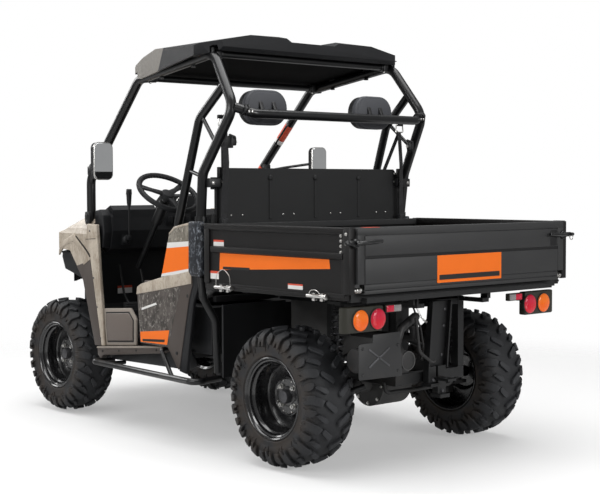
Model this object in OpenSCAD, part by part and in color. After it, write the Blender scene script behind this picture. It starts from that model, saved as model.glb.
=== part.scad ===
// Two-seat utility side-by-side with a tipping steel cargo bed.
// +X is forward, +Y is the driver's left, +Z is up. The origin is on the ground
// under the middle of the vehicle's box.

/* [Wheels] */
// Outer diameter of all four tyres
tyre_d = 660; // [640:5:680]
// Width of a rear tyre
rear_tyre_w = 268; // [250:2:272]
// Width of a front tyre
front_tyre_w = 228; // [210:2:230]
// Bead seat diameter of the steel rims
rim_d = 356; // [350:1:360]
// Distance of the rear axle behind the origin
rear_axle = 950; // [945:1:955]
// Distance of the front axle ahead of the origin
front_axle = 1090; // [1085:1:1095]
// Distance of a rear tyre's middle from the centre line
rear_half_track = 600; // [598:1:602]
// Distance of a front tyre's middle from the centre line
front_half_track = 538; // [536:1:540]

/* [Cargo bed] */
// Width over the bed sides
bed_w = 1500; // [1490:2:1510]
// Distance of the bed's rear face behind the origin
bed_rear = 1500; // [1498:1:1502]
// Distance of the bed's front face behind the origin
bed_front = 480; // [476:1:486]
// Height of the bed's top rail
bed_top = 1127; // [1120:1:1135]
// Height of the bed floor's upper face
bed_floor_z = 842; // [840:1:846]

/* [Cab] */
// Radius of the roll cage tubes
cage_r = 25; // [23:0.5:26]
// Height of the roof's highest point
roof_top = 2068; // [2060:1:2075]
// Half width of the roof at its rear edge
roof_half = 700; // [690:1:705]
// Diameter of the steering wheel
wheel_d = 370; // [340:5:380]

/* [Hidden] */
$fn = 48;
axle_z = tyre_d / 2;
half_len = 1535;            // both bumper and tailgate lever end here
kingpin_y = 470;
ball_hole_r = 12.7;
spindle_r = 20;
bore_r = spindle_r + 0.05;
bed_half = bed_w / 2;
post_w = 36;
gate_half = bed_half - post_w - 4;
gate_x = -bed_rear;
gate_pin_x = -bed_rear + 10; // tailgate hinge pins
gate_pin_z = 858;
gate_pin_r = 8;
tip_x = -1400;              // axis that the bed tips about
tip_z = 780;
arch_side = 652;
column_tilt = 55;           // steering wheel's normal above the horizontal
wheel_c = [350, 360, 1270];
column_dir = [cos(column_tilt), 0, -sin(column_tilt)];
hinge_hood = [742, 0, 1168];
hood_half = 395;
swell = 0.4;                // a bend is this much fatter than the tube let into it
front_disc = 10;            // wheel disc's height above the tyre's middle
rear_disc = 14;
rail_y = 215;               // chassis rails
rail_z = 400;
lower_ball_z = 238;         // outer ends of the front arms
upper_ball_z = 420;
knuckle_half = 64;
spring_x = front_axle - 32; // front spring passes behind the half shaft
a_top = [256, 612, 1869];   // cage corners under the roof
hoop_top = [-401, 618, 1961];
rail_dir = unit(a_top - hoop_top);
arch_outline = [[690, 300], [694, 560], [766, 782], [905, 945], [1150, 965], [1330, 900], [1430, 780],
    [1440, 640], [1600, 560], [1600, 300]];

/* ---- helpers ---- */

function unit(v) = v / norm(v);
function turn_angle(p, i) = acos(min(1, unit(p[i] - p[i - 1]) * unit(p[i + 1] - p[i])));
function trim_len(p, i, bend) =
    i == 0 || i == len(p) - 1 ? 0 : bend * tan(turn_angle(p, i) / 2);

// Straight round bar from a to b
module bar(a, b, r) {
    d = b - a;
    translate(a) rotate([0, acos(d.z / norm(d)), atan2(d.y, d.x)]) cylinder(h = norm(d), r = r);
}

// One bend of a tube at corner i of its route
module elbow(p, i, r, bend) {
    u = unit(p[i] - p[i - 1]);
    v = unit(p[i + 1] - p[i]);
    n = unit(v - u * (u * v));
    c = p[i] - u * trim_len(p, i, bend) + n * bend;
    w = cross(-n, u);
    multmatrix([[-n.x, u.x, w.x, c.x], [-n.y, u.y, w.y, c.y], [-n.z, u.z, w.z, c.z], [0, 0, 0, 1]])
        rotate_extrude(angle = turn_angle(p, i)) translate([bend, 0]) circle(r = r + swell);
}

// Bent tube along a route of points, with the same bend radius at each corner
module bent_tube(p, r, bend) {
    for (i = [0:len(p) - 2]) {
        u = unit(p[i + 1] - p[i]);
        a = i == 0 ? 0 : trim_len(p, i, bend) - swell;
        b = i == len(p) - 2 ? 0 : trim_len(p, i + 1, bend) - swell;
        bar(p[i] + u * a, p[i + 1] - u * b, r);
    }
    for (i = [1:1:len(p) - 2]) elbow(p, i, r, bend);
}

// Box from its low corner to its high corner
module block(lo, hi) translate(lo) cube(hi - lo);

// Its child on the left and mirrored on the right
module both_sides() {
    children();
    mirror([0, 1, 0]) children();
}

// Side outline in X and Z, as thick as from y0 to y1
module side_plate(outline, y0, y1)
    translate([0, y1, 0]) rotate([90, 0, 0]) linear_extrude(y1 - y0) polygon(outline);

// Rear-view outline in Y and Z, as thick as from x0 to x1
module cross_plate(outline, x0, x1)
    translate([x0, 0, 0]) rotate([90, 0, 90]) linear_extrude(x1 - x0) polygon(outline);

// Plan outline in X and Y, as thick as from z0 to z1
module plan_plate(outline, z0, z1)
    translate([0, 0, z0]) linear_extrude(z1 - z0) polygon(outline);

/* ---- wheels ---- */

// Tyre lying on Z: a C-shaped carcass whose beads grip the rim
module tyre_ring(w) {
    r = tyre_d / 2;
    b = rim_d / 2;
    h = w / 2;
    rotate_extrude($fn = 96) polygon([
        [b + 2, -h + 18], [b + 30, -h + 6], [b + 75, -h], [r - 38, -h + 8], [r - 12, -h + 26],
        [r, -h + 60], [r, h - 60], [r - 12, h - 26], [r - 38, h - 8], [b + 75, h], [b + 30, h - 6],
        [b + 2, h - 18], [b + 2, h - 34], [b + 35, h - 24], [r - 48, h - 26], [r - 32, h - 60],
        [r - 32, -h + 60], [r - 48, -h + 26], [b + 35, -h + 24], [b + 2, -h + 34]]);
}

// Deep steel rim lying on Z with its outer side up and its disc at height disc_z
module rim_ring(w, disc_z) {
    f = rim_d / 2 + 1;
    h = w / 2 - 11;
    barrel = f - 8;
    difference() {
        union() {
            rotate_extrude($fn = 96) polygon([
                [barrel - 5, -h], [f + 12, -h - 2], [f + 12, -h + 1], [f, -h + 5], [f, -h + 24],
                [barrel, -h + 40],
                [barrel, h - 40], [f, h - 24], [f, h - 5], [f + 12, h - 1], [f + 12, h + 2], [barrel - 5, h],
                [barrel - 5, h - 24], [barrel - 12, h - 44], [barrel - 12, -h + 44], [barrel - 5, -h + 24]]);
            rotate_extrude($fn = 96) polygon([
                [0, disc_z - 4], [75, disc_z - 4], [100, disc_z - 16], [barrel - 10, disc_z - 16],
                [barrel - 10, disc_z - 8], [104, disc_z - 8], [78, disc_z + 4], [52, disc_z + 4],
                [46, disc_z + 34], [0, disc_z + 34]]);
        }
        translate([0, 0, disc_z - 6]) cylinder(h = 34, r = bore_r);
        for (a = [45:90:315]) rotate(a) translate([68, 0, disc_z - 10]) cylinder(h = 20, r = 6, $fn = 24);
    }
}

// Places a wheel piece on its axle end, outer side facing outwards
module on_axle(x, y) translate([x, y, axle_z]) rotate([y > 0 ? -90 : 90, 0, 0]) children();

module tyre_front_left() color("#2b2a29") on_axle(front_axle, front_half_track) tyre_ring(front_tyre_w);
module tyre_front_right() color("#2b2a29") on_axle(front_axle, -front_half_track) tyre_ring(front_tyre_w);
module tyre_rear_left() color("#2b2a29") on_axle(-rear_axle, rear_half_track) tyre_ring(rear_tyre_w);
module tyre_rear_right() color("#2b2a29") on_axle(-rear_axle, -rear_half_track) tyre_ring(rear_tyre_w);
module rim_front_left() color("#151517")
    on_axle(front_axle, front_half_track) rim_ring(front_tyre_w, front_disc);
module rim_front_right() color("#151517")
    on_axle(front_axle, -front_half_track) rim_ring(front_tyre_w, front_disc);
module rim_rear_left() color("#151517")
    on_axle(-rear_axle, rear_half_track) rim_ring(rear_tyre_w, rear_disc);
module rim_rear_right() color("#151517")
    on_axle(-rear_axle, -rear_half_track) rim_ring(rear_tyre_w, rear_disc);

// Front steering knuckle with its spindle, on the left
module knuckle() {
    block([front_axle - 26, kingpin_y - 18, axle_z - knuckle_half],
        [front_axle + 26, kingpin_y + 18, axle_z + knuckle_half]);
    translate([front_axle, kingpin_y + 18, axle_z]) rotate([-90, 0, 0]) cylinder(h = 24, r = 55);
    translate([front_axle, kingpin_y + 18, axle_z]) rotate([-90, 0, 0])
        cylinder(h = front_half_track + front_disc + 22 - kingpin_y - 18, r = spindle_r);
    block([front_axle - 95, kingpin_y - 12, axle_z - 14], [front_axle - 26, kingpin_y + 12, axle_z + 14]);
}
module knuckle_left() color("#3a3b3d") knuckle();
module knuckle_right() color("#3a3b3d") mirror([0, 1, 0]) knuckle();

/* ---- chassis ---- */

// Ladder of two rails and cross members with the skid plate
module main_frame() color("#1d1e20") {
    both_sides() block([-1275, rail_y - 22, rail_z - 30], [1330, rail_y + 22, rail_z + 30]);
    for (x = [-1255, -820, -420, 130, 660, 950, 1290])
        block([x - 20, -rail_y, rail_z - 24], [x + 20, rail_y, rail_z + 24]);
    block([-360, -rail_y - 22, rail_z - 34], [front_axle - 100, rail_y + 22, rail_z - 30]);
}

// Tower that carries the front springs and the nose
module front_frame() color("#1d1e20") {
    both_sides() {
        for (x = [950, 1200]) block([x - 20, rail_y - 20, rail_z + 30.5], [x + 20, rail_y + 20, 760]);
        block([930, rail_y - 20, 720], [1220, rail_y + 20, 760]);
        block([spring_x - 45, rail_y - 20, 700], [spring_x + 45, 300, 722]);
    }
    for (x = [950, 1200]) block([x - 20, -rail_y, 724], [x + 20, rail_y, 756]);
}

// Tower that carries the rear springs, with the bed rails and the bed's pivot ears
module rear_frame() color("#1d1e20") {
    both_sides() {
        for (x = [-1255, -820]) block([x - 20, rail_y - 20, rail_z + 30.5], [x + 20, rail_y + 20, 760]);
        block([-1275, rail_y - 20, 730], [-440, rail_y + 20, 770]);
        block([-1424, rail_y - 12, 748], [-1274, rail_y + 12, 768]);
        block([-rear_axle - 145, rail_y + 15, 752], [-rear_axle - 55, 420, 766]);
        block([tip_x - 22, rail_y + 8, 748], [tip_x + 22, rail_y + 36, 768]);
        block([tip_x - 22, rail_y + 24, 748], [tip_x + 22, rail_y + 36, tip_z + 16]);
    }
    for (x = [-1255, -820]) block([x - 18, -rail_y, 732], [x + 18, rail_y, 762]);
}

// Outriggers that carry the floor, the steps and the cage's feet
module outriggers() color("#1d1e20") both_sides() {
    for (s = [[-410, 585], [130, 600], [560, 600], [660, 560]])
        block([s[0] - 20, rail_y + 22.5, rail_z - 20], [s[0] + 20, s[1], rail_z + 20]);
    bent_tube([[-410, 610, rail_z - 20], [-410, 625, 640], [-395, 690, 760], [-395, 699, 862]], 19, 60);
    block([-436, rail_y + 24, 735], [-412, 640, 765]);
    // hangers of the step bar
    block([548, 570, 362], [572, 600, rail_z - 19]);
    block([-395, 555, 362], [-360, 585, rail_z]);
}

// Sheet footwell: floor, sloping toe board and firewall
module floor_pan() color("#17181a") {
    t = 8;
    side_plate([[-60, 452], [690, 452], [770, 640], [770, 940], [770 - t, 940], [770 - t, 642],
        [690 - t, 452 + t], [-60, 452 + t]], -608, 608);
    both_sides() block([-60, 600, 452 + t], [560, 608, 500]);
}

module engine_block() color("#3c3d3f") {
    block([-770, -180, 436], [-470, 180, 724]);
    translate([-470, 0, 560]) rotate([0, 90, 0]) cylinder(h = 30, r = 110);
}

// Front and rear axle gear cases
module differentials() color("#46474a") {
    for (s = [[-rear_axle, 105], [front_axle, 80]]) {
        translate([s[0], 0, axle_z]) rotate([90, 0, 0]) cylinder(h = 200, r = s[1], center = true);
        translate([s[0], 0, axle_z]) rotate([90, 0, 0]) cylinder(h = 330, r = 32, center = true);
    }
}

// Driven shafts with their rubber boots
module halfshafts() color("#222222") both_sides() {
    for (s = [[-rear_axle, 449], [front_axle, kingpin_y - 38]]) {
        bar([s[0], 168, axle_z], [s[0], s[1], axle_z], 14);
        bar([s[0], 168, axle_z], [s[0], 225, axle_z], 34);
        bar([s[0], s[1] - 56, axle_z], [s[0], s[1], axle_z], 34);
    }
}

// A-shaped arms front and rear with the rear hub carriers
module suspension_arms() color("#1a1a1c") both_sides() {
    for (s = [[110, 352, lower_ball_z], [140, 500, upper_ball_z]], d = [-s[0], s[0]])
        bar([front_axle + d, 248, s[1]], [front_axle, kingpin_y - 12, s[2]], 13);
    // ball joints just below and above the knuckle
    translate([front_axle, kingpin_y, lower_ball_z - 8])
        cylinder(h = axle_z - knuckle_half - 0.4 - lower_ball_z + 8, r = 22);
    translate([front_axle, kingpin_y, axle_z + knuckle_half + 0.4]) cylinder(h = 26, r = 22);
    for (z = [[352, 262], [540, 420]]) {
        for (d = [-130, 130]) bar([-rear_axle + d, 248, z[0]], [-rear_axle, 450, z[1]], 15);
    }
    block([-rear_axle - 32, 450, 236], [-rear_axle + 32, 486, 440]);
    // seat of the spring
    block([-rear_axle - 125, 400, 296], [-rear_axle - 41, 470, 312]);
    block([-rear_axle - 125, 452, 296], [-rear_axle - 25, 486, 312]);
    translate([-rear_axle, 486, axle_z]) rotate([-90, 0, 0]) cylinder(h = 26, r = 70);
    translate([-rear_axle, 486, axle_z]) rotate([-90, 0, 0])
        cylinder(h = rear_half_track + rear_disc + 22 - 486, r = spindle_r);
}

// Coil-over spring units at all four corners
module shock_absorbers() color("#2a2a2c") both_sides() {
    for (s = [[[-rear_axle - 100, 385, 750], [-rear_axle - 100, 427, 315]],
        [[spring_x, 262, 694], [spring_x, 350, 316]]]) {
        u = unit(s[1] - s[0]);
        bar(s[0], s[1], 13);
        bar(s[0] + u * 30, s[0] + u * 270, 33);
    }
}

// Silencer with its heat shield plate and tail pipe
module exhaust() color("#232425") {
    block([-1412, 338, 447], [-1404, 600, 612]);
    block([-1412, 338, 612], [-1404, 480, 656]);
    translate([-1346, 300, 530]) rotate([-90, 0, 0]) cylinder(h = 270, r = 56);
    for (z = [482, 566]) block([-1404, 440, z], [-1366, 466, z + 12]);
    translate([-1370, 286, 510]) rotate([0, -90, 0]) cylinder(h = 76, r = 43, center = true);
    bent_tube([[-1346, 330, 540], [-1332, 262, 650], [-1320, 150, 700], [-1240, 90, 660],
        [-1225, 60, 585], [-1000, 60, 575]], 21, 30);
}

// Central hitch: two raked channels, legs, foot plates and receiver tube
module hitch_frame() color("#222325") {
    // raked channel, open to the rear
    side_plate([[-1330, 762], [-1318, 762], [-1290, 470], [-1290, 440], [-1302, 440], [-1302, 470]],
        -66, 66);
    both_sides() side_plate([[-1352, 762], [-1318, 762], [-1290, 470], [-1290, 440], [-1326, 440],
        [-1328, 470]], 58, 68);
    // ties to the frame's cross members
    block([-1319, -50, 738], [-1273, 50, 756]);
    block([-1302, -40, 402], [-1275, 40, 422]);
    // legs with their foot plates
    block([-1322, -56, 318], [-1286, 0, 452]);
    block([-1344, -60, 300], [-1278, 6, 318]);
    block([-1322, 12, 372], [-1286, 64, 452]);
    block([-1344, 10, 358], [-1278, 70, 374]);
    difference() {
        block([-1412, -28, 388], [-1300, 28, 400]);
        translate([-1384, 0, 380]) cylinder(h = 30, r = ball_hole_r);
    }
}

/* ---- front body ---- */

// Solid form of the whole nose, pulled in all round by t
module nose_form(t) intersection() {
    side_plate([[690, 1170 - t], [752, 1166 - t], [967, 1062 - t], [1200, 1000 - t], [1400, 948 - t],
        [1468 - t, 880 - t], [1500 - t, 760], [1488 - t, 560], [1440 - t, 480 + t], [690, 380 + t]], -700, 700);
    plan_plate([[690, -arch_side + t], [1022, -arch_side + t], [1120, -540 + t], [1300, -385 + t],
        [1425, -275 + t], [1485 - t, -150], [1500 - t, 0], [1485 - t, 150], [1425, 275 - t],
        [1300, 385 - t], [1120, 540 - t], [1022, arch_side - t], [690, arch_side - t]], 300, 1300);
    cross_plate([[-656, 300], [-656, 1030 - t], [-640 + t, 1075 - t], [-600 + t, 1125 - t],
        [-420, 1172 - t], [420, 1172 - t], [600 - t, 1125 - t], [640 - t, 1075 - t],
        [656, 1030 - t], [656, 300]], 600, 1600);
}

module nose_shell(t) difference() {
    nose_form(0);
    nose_form(t);
}

// Hinged hood between the fenders, with its two hinge pins
module hood() color("#8c7d6a") {
    intersection() {
        nose_shell(12);
        block([hinge_hood.x, -hood_half, 900], [1448, hood_half, 1200]);
    }
    for (y = [-260, 260]) translate([hinge_hood.x, y + 25, hinge_hood.z]) rotate([90, 0, 0])
        cylinder(h = 50, r = 6);
}

// Camouflaged fender with its arch, shoulder and rear leg
module fender() {
    difference() {
        intersection() {
            nose_shell(14);
            block([700, hood_half + 5, 300], [1448, 700, 1200]);
        }
        side_plate(arch_outline, 300, 800);
        // seat of the cage's front foot
        translate([755, 600, 1050]) cylinder(h = 200, r = cage_r + 3);
    }
    // return flange down the door opening
    side_plate([[570, 560], [554, 431], [632, 431], [657, 560], [700, 700], [716, 1100], [628, 1096],
        [600, 800]], arch_side - 22, arch_side - 4);
}
module front_fenders() color("#a39786") both_sides() fender();

// Upright face with the grille opening
module front_fascia() color("#2a2b2d") difference() {
    intersection() {
        nose_shell(16);
        union() {
            block([1452, -hood_half, 500], [1600, hood_half, 1000]);
            block([1300, -hood_half, 500], [1600, hood_half, 896]);
        }
    }
    block([1400, -150, 640], [1600, 150, 780]);
    both_sides() block([1290, 215, 480], [1600, hood_half + 5, 735]);
    both_sides() translate([1380, 215, 850]) rotate([0, 90, 0]) cylinder(h = 200, r = 54);
}

module headlights() color("#dfe6ea") both_sides()
    translate([1395, 215, 850]) rotate([0, 90, 0]) cylinder(h = 60, r = 50);

// Tubular front bumper with its mounting legs
module front_bumper() color("#161617") {
    bent_tube([[1420, -420, 470], [half_len - 20, -330, 470], [half_len - 20, 330, 470],
        [1420, 420, 470]], 20, 60);
    bent_tube([[1508, -230, 470], [1500, -230, 372], [1500, 230, 372], [1508, 230, 470]], 14, 40);
    both_sides() block([1330, 195, 385], [1345, 235, 440]);
    both_sides() bent_tube([[1345, 215, 412], [1440, 215, 412], [half_len - 20, 215, 470]], 14, 40);
}

// Black plastic wheel-house liners, front and rear
module wheel_liners() color("#101011") both_sides() {
    difference() {
        intersection() {
            union() {
                side_plate([[776, 790], [905, 925], [1150, 945], [1330, 880], [1380, 815],
                    [1374, 810], [1326, 872], [1150, 937], [908, 917], [782, 786]], 245, 634);
                // outer skirt
                side_plate([[757, 861], [752, 779], [985, 837], [1016, 904], [1012, 938],
                    [905, 930], [800, 830]], 626, 634);
            }
            plan_plate([[690, 245], [690, 640], [1016, 640], [1110, 530], [1290, 372], [1380, 290],
                [1390, 245]], 600, 1200);
        }
        translate([755, 600, 600]) cylinder(h = 600, r = cage_r + 8);
    }
    block([-508, 250, 372], [-496, 652, 728]);
}

/* ---- cab ---- */

module dashboard() color("#1b1c1e") difference() {
    union() {
        side_plate([[695, 1163], [650, 1172], [616, 1136], [600, 1060], [620, 960], [690, 930],
            [695, 932]], -560, 560);
        side_plate([[734, 1156], [690, 1162], [690, 930], [734, 950]], -hood_half + 5, hood_half - 5);
        side_plate([[695, 1178], [650, 1200], [620, 1176], [612, 1100], [695, 1100]], 250, 545);
        side_plate([[695, 1220], [640, 1262], [600, 1250], [606, 1100], [695, 1100]], -20, 205);
    }
    // column, lever and passenger's shelf
    bar(wheel_c, wheel_c + column_dir * 560, 34);
    block([500, -500, 1040], [640, -120, 1110]);
}

module steering_column() color("#1a1a1b") {
    bar(wheel_c + column_dir * 46, wheel_c + column_dir * 520, 16);
    bar(wheel_c + column_dir * 60, wheel_c + column_dir * 200, 30);
}

module steering_wheel() color("#141415") translate(wheel_c) rotate([0, -(90 - column_tilt), 0]) {
    rotate_extrude($fn = 96) translate([wheel_d / 2 - 15, 0]) circle(r = 15, $fn = 32);
    translate([0, 0, -38]) cylinder(h = 40, r = 42);
    for (a = [0, 120, 240]) rotate(a + 60) block([30, -17, -20], [wheel_d / 2 - 20, 17, -8]);
}

module gear_lever() color("#131314") {
    bar([602, 468, 1012], [573, 468, 1028], 6);
    bar([575, 468, 1022], [575, 468, 1212], 6);
    bar([575, 468, 1206], [575, 468, 1292], 17);
}

// Box under the seats that closes the engine bay
module seat_base() color("#161617") difference() {
    block([-350, -600, 462], [120, 600, 700]);
    block([-342, -592, 455], [112, 592, 692]);
}

// Two separate squabs
module seat_cushions() color("#1e1e20") for (y = [-300, 300])
    side_plate([[-270, 704], [200, 704], [225, 740], [215, 795], [170, 812], [-200, 782], [-270, 782]],
        y - 245, y + 245);

module seat_backs() color("#1e1e20") for (y = [-300, 300])
    side_plate([[-262, 788], [-205, 800], [-290, 1340], [-318, 1362], [-375, 1356], [-384, 1330],
        [-330, 788]], y - 245, y + 245);

// Framed panels low in the door openings
module foot_guards() color("#6f675d") both_sides() {
    rim = [[548, 434], [548, 640], [311, 656], [256, 600], [258, 457]];
    well = [[526, 456], [526, 620], [318, 634], [280, 592], [280, 476]];
    difference() {
        side_plate(rim, 628, 646);
        side_plate(well, 636, 650);
    }
}

// Sills that run from the fender leg to the side panel
module rocker_panels() color("#6f675d") both_sides()
    side_plate([[612, 420], [532, 428], [-35, 480], [-60, 470], [-3, 440], [556, 380], [581, 362],
        [612, 378]], 622, 662);

module side_panels() color("#857b6d") both_sides() {
    outline = [[162, 770], [150, 790], [116, 804], [-73, 845], [-318, 884], [-321, 818], [-290, 745],
        [-207, 389], [-197, 381], [-107, 487], [139, 490]];
    side_plate(outline, 690, 704);
    // dark return behind the tail, out to the wheel house
    side_plate([[-304, 872], [-284, 745], [-200, 401], [-203, 376], [-261, 365], [-325, 730],
        [-362, 800], [-362, 876]], 676, 697);
    side_plate([[150, 500], [150, 760], [-60, 820], [-60, 500]], 664, 690);
}

module quarter_panels() color("#b4a892") both_sides() {
    side_plate([[-66, 850], [-128, 1072], [-172, 1104], [-340, 1134], [-364, 1136], [-364, 894],
        [-322, 890]], 690, 704);
    side_plate([[-366, 894], [-366, 1136], [-440, 1136], [-440, 880], [-420, 860], [-340, 880]],
        726, 734);
}

module step_bars() color("#151516") both_sides() {
    bent_tube([[560, 590, 345], [545, 738, 356], [-392, 738, 342], [-372, 570, 345]], 16, 50);
    bar([430, 738, 354], [430, 600, 348], 11);
    bent_tube([[-60, 672, 474], [-70, 712, 474], [-200, 738, 346]], 11, 20);
}

/* ---- roll cage and roof ---- */

module front_cage() color("#1a1b1d") {
    both_sides() bent_tube([[755, 600, 1080], [755, 600, 1354], a_top, hoop_top + rail_dir * 335], cage_r, 95);
    bar([205, -600, 1876], [205, 600, 1876], 17);
    both_sides() block([222, 560, 1880], [262, 590, 1892]);
}

module rear_cage() color("#1a1b1d") {
    both_sides() {
        bent_tube([hoop_top + rail_dir * 333, hoop_top, [-604, 658, 1685], [-420, 705, 1368],
            [-395, 699, 1144], [-395, 699, 866]], cage_r, 95);
        bent_tube([[-156, 655, 480], [-156, 662, 1117], [-330, 655, 1640], [-512, 640, 1800]], cage_r - 3, 90);
        bar([-245, 659, 1385], [-420, 704, 1352], 10);
        bar([-350, 654, 1650], [-500, 684, 1510], 10);
        bar([-395, 678, 900], [-156, 662, 900], 10);
        bar([-156, 656, 510], [-156, 603, 510], 14);
        bent_tube([[-599, 655, 1686], [-640, 560, 1655], [-640, 0, 1655]], cage_r - 2, 70);
    }
    bar([-380, -610, 1958], [-380, 610, 1958], 17);
}

// Moulded roof shell
module roof_form(t) intersection() {
    side_plate([[290 - t, 1896], [286 - t, 1908 - t / 2], [236, 1945 - t], [150, 1978 - t], [20, 2012 - t],
        [-160, 2042 - t], [-300, 2064 - t], [-400, roof_top - t], [-446 + t, 2058 - t], [-452 + t, 1990],
        [-430 + t, 1962], [180, 1868], [290 - t, 1880]], -720, 720);
    plan_plate([[300, -560 + t], [250, -640 + t], [180, -652 + t], [-345, -roof_half + t],
        [-462, -590 + t], [-462, 590 - t], [-345, roof_half - t], [180, 652 - t],
        [250, 640 - t], [300, 560 - t]], 1800, 2100);
    cross_plate([[-710, 1800], [-710, 1990 - t], [-680, 2007 - t], [-420, 2058 - t],
        [-200, roof_top - t], [-150, 2040 - t], [150, 2040 - t], [200, roof_top - t],
        [420, 2058 - t], [680, 2007 - t], [710, 1990 - t], [710, 1800]], -500, 400);
}

module roof() color("#2c2d30") difference() {
    roof_form(0);
    translate([0, 0, -2]) roof_form(16);
    side_plate([[-500, 1700], [-430, 1998], [-401, 1990], [256, 1900], [300, 1893], [330, 1700]], -645, 645);
}

// Ribbed sheet behind the seats, bolted to the cage
module headboard() color("#2e2f31") {
    cross_plate([[-646, 1060], [-644, 1150], [-622, 1372], [-598, 1396], [598, 1396], [622, 1372],
        [644, 1150], [646, 1060]], -440, -430);
    for (y = [-328, -15, 293]) block([-446, y - 9, 1140], [-440, y + 9, 1358]);
    both_sides() {
        block([-440, 625, 1290], [-432, 668, 1350]);
        block([-440, 640, 1110], [-432, 668, 1170]);
    }
}

// Shell headrests bracketed to the shoulder bar
module headrests() color("#232426") for (y = [-375, 375]) {
    hull() for (d = [-52, 52]) translate([-512, y + d, 1696]) rotate([0, 90, 0]) cylinder(h = 66, r = 88);
    for (d = [-52, 48]) block([-619, y + d - 5, 1670], [-512, y + d + 5, 1720]);
}

module mirrors() color("#1b1b1c") both_sides() {
    difference() {
        hull() for (y = [735, 807], z = [1365, 1517]) translate([362, y, z]) rotate([0, 90, 0])
            cylinder(h = 34, r = 24, $fn = 32);
        hull() for (y = [737, 805], z = [1367, 1515]) translate([358, y, z]) rotate([0, 90, 0])
            cylinder(h = 8, r = 18, $fn = 32);
    }
    bent_tube([[396, 771, 1441], [470, 760, 1441], [672, 652, 1400], [705, 632, 1400]], 8, 30);
}

/* ---- cargo bed ---- */

module bed_floor() color("#2d2e30") {
    block([gate_x + 36, -bed_half + 44, bed_floor_z - 8], [-bed_front - 24, bed_half - 44, bed_floor_z]);
    // rear sill under the tailgate and cross bearers
    block([gate_x + 4, -640, 800], [gate_x + 44, 640, 822]);
    block([gate_x + 36, -bed_half + 46, 804], [gate_x + 60, bed_half - 46, bed_floor_z - 8]);
    for (x = [-1240, -980, -740, -540])
        block([x - 20, -bed_half + 46, 804], [x + 20, bed_half - 46, bed_floor_z - 8]);
    both_sides() {
        block([tip_x - 4, rail_y - 20, 790], [-510, rail_y + 12, 806]);
        // pivot eye and its pin
        block([tip_x - 16, rail_y + 42, tip_z - 16], [tip_x + 16, rail_y + 54, bed_floor_z - 8]);
        translate([tip_x, rail_y + 42, tip_z]) rotate([90, 0, 0]) cylinder(h = 5, r = 8);
    }
}

module bed_front_panel() color("#2d2e30") {
    x = -bed_front;
    block([x - 22, -bed_half + 44, 806], [x - 8, bed_half - 44, bed_top - 30]);
    block([x - 34, -bed_half + 44, bed_top - 30], [x, bed_half - 44, bed_top - 2]);
    block([x - 30, -bed_half + 44, 960], [x - 22, bed_half - 44, 990]);
}

// Side walls with top rail, pressed ridge, end frames and corner posts
module bed_side() {
    y = bed_half;
    x0 = -bed_rear;
    x1 = -bed_front;
    block([x0 + 36, y - 26, 842], [x1, y - 12, bed_top - 30]);
    block([x0 + 36, y - 42, bed_top - 30], [x1, y - 2, bed_top]);
    block([x0 + 50, y - 26, 990], [x1 - 40, y, 1018]);
    difference() {
        block([x0, y - post_w, 842], [x0 + 38, y, bed_top]);
        translate([gate_pin_x, y - 60, gate_pin_z]) rotate([-90, 0, 0]) cylinder(h = 80, r = gate_pin_r + 0.05);
    }
    block([x1 - 34, y - 26, 842], [x1, y - 4, bed_top - 30]);
    block([x0 + 40, y - 42, 812], [x1, y - 14, 842]);
    for (x = [-1300, -660]) block([x - 60, y - 14, 822], [x + 60, y - 8, 834]);
}
module bed_sides() color("#2d2e30") both_sides() bed_side();

// Tailgate panel with its borders, ridge, hinge pins and latch levers
module tailgate() color("#303133") {
    x = gate_x;
    difference() {
        block([x - 12, -gate_half, 840], [x + 22, gate_half, bed_top]);
        block([x - 20, -gate_half + 62, 1026], [x - 4, gate_half - 62, bed_top - 34]);
        both_sides() block([x - 20, gate_half - 62, 830], [x + 30, gate_half + 10, 876]);
    }
    block([x - 13, -gate_half + 62, 990], [x - 6, gate_half - 62, 1016]);
    both_sides() {
        translate([gate_pin_x, gate_half - 66, gate_pin_z]) rotate([-90, 0, 0])
            cylinder(h = 66 + post_w - 4, r = gate_pin_r);
        // latch boss and lever
        translate([x - 12, 688, 1068]) rotate([0, -90, 0]) cylinder(h = 14, r = 20);
        bar([x - 24, 700, 1062], [x - 24, 572, 1070], 10);
        block([x - 20, 696, 1056], [x - 12, 742, 1082]);
    }
}

module tail_lamps() color("#3a3a3c") both_sides() {
    cross_plate([[494, 676], [700, 672], [728, 700], [730, 780], [724, 784], [498, 784]], -1448, -1404);
    block([-1430, 520, 784], [-1408, 700, 804]);
    block([-1448, 372, 740], [-1430, 476, 774]);
    block([-1436, 400, 774], [-1412, 450, 804]);
}

module tail_lenses() color("#d8501c") both_sides() {
    for (y = [541, 643]) translate([-1448, y, 726]) rotate([0, -90, 0]) cylinder(h = 16, r = 45);
    block([-1456, 376, 744], [-1448, 472, 770]);
}

main_frame();
front_frame();
rear_frame();
outriggers();
floor_pan();
engine_block();
differentials();
halfshafts();
suspension_arms();
shock_absorbers();
exhaust();
hitch_frame();
front_bumper();
front_fascia();
headlights();
hood();
front_fenders();
wheel_liners();
dashboard();
steering_column();
steering_wheel();
gear_lever();
seat_base();
seat_cushions();
seat_backs();
foot_guards();
rocker_panels();
side_panels();
quarter_panels();
step_bars();
front_cage();
rear_cage();
roof();
headboard();
headrests();
mirrors();
bed_floor();
bed_front_panel();
bed_sides();
tail_lamps();
tail_lenses();
tailgate();
knuckle_left();
knuckle_right();
rim_front_left();
rim_front_right();
rim_rear_left();
rim_rear_right();
tyre_front_left();
tyre_front_right();
tyre_rear_left();
tyre_rear_right();
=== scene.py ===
# Two-seat utility side-by-side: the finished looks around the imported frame.
# Everything is in metres, +X forward, +Y to the driver's left, +Z up, ground at zero.
import math

import bmesh
import bpy
from mathutils import Matrix, Vector


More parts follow.
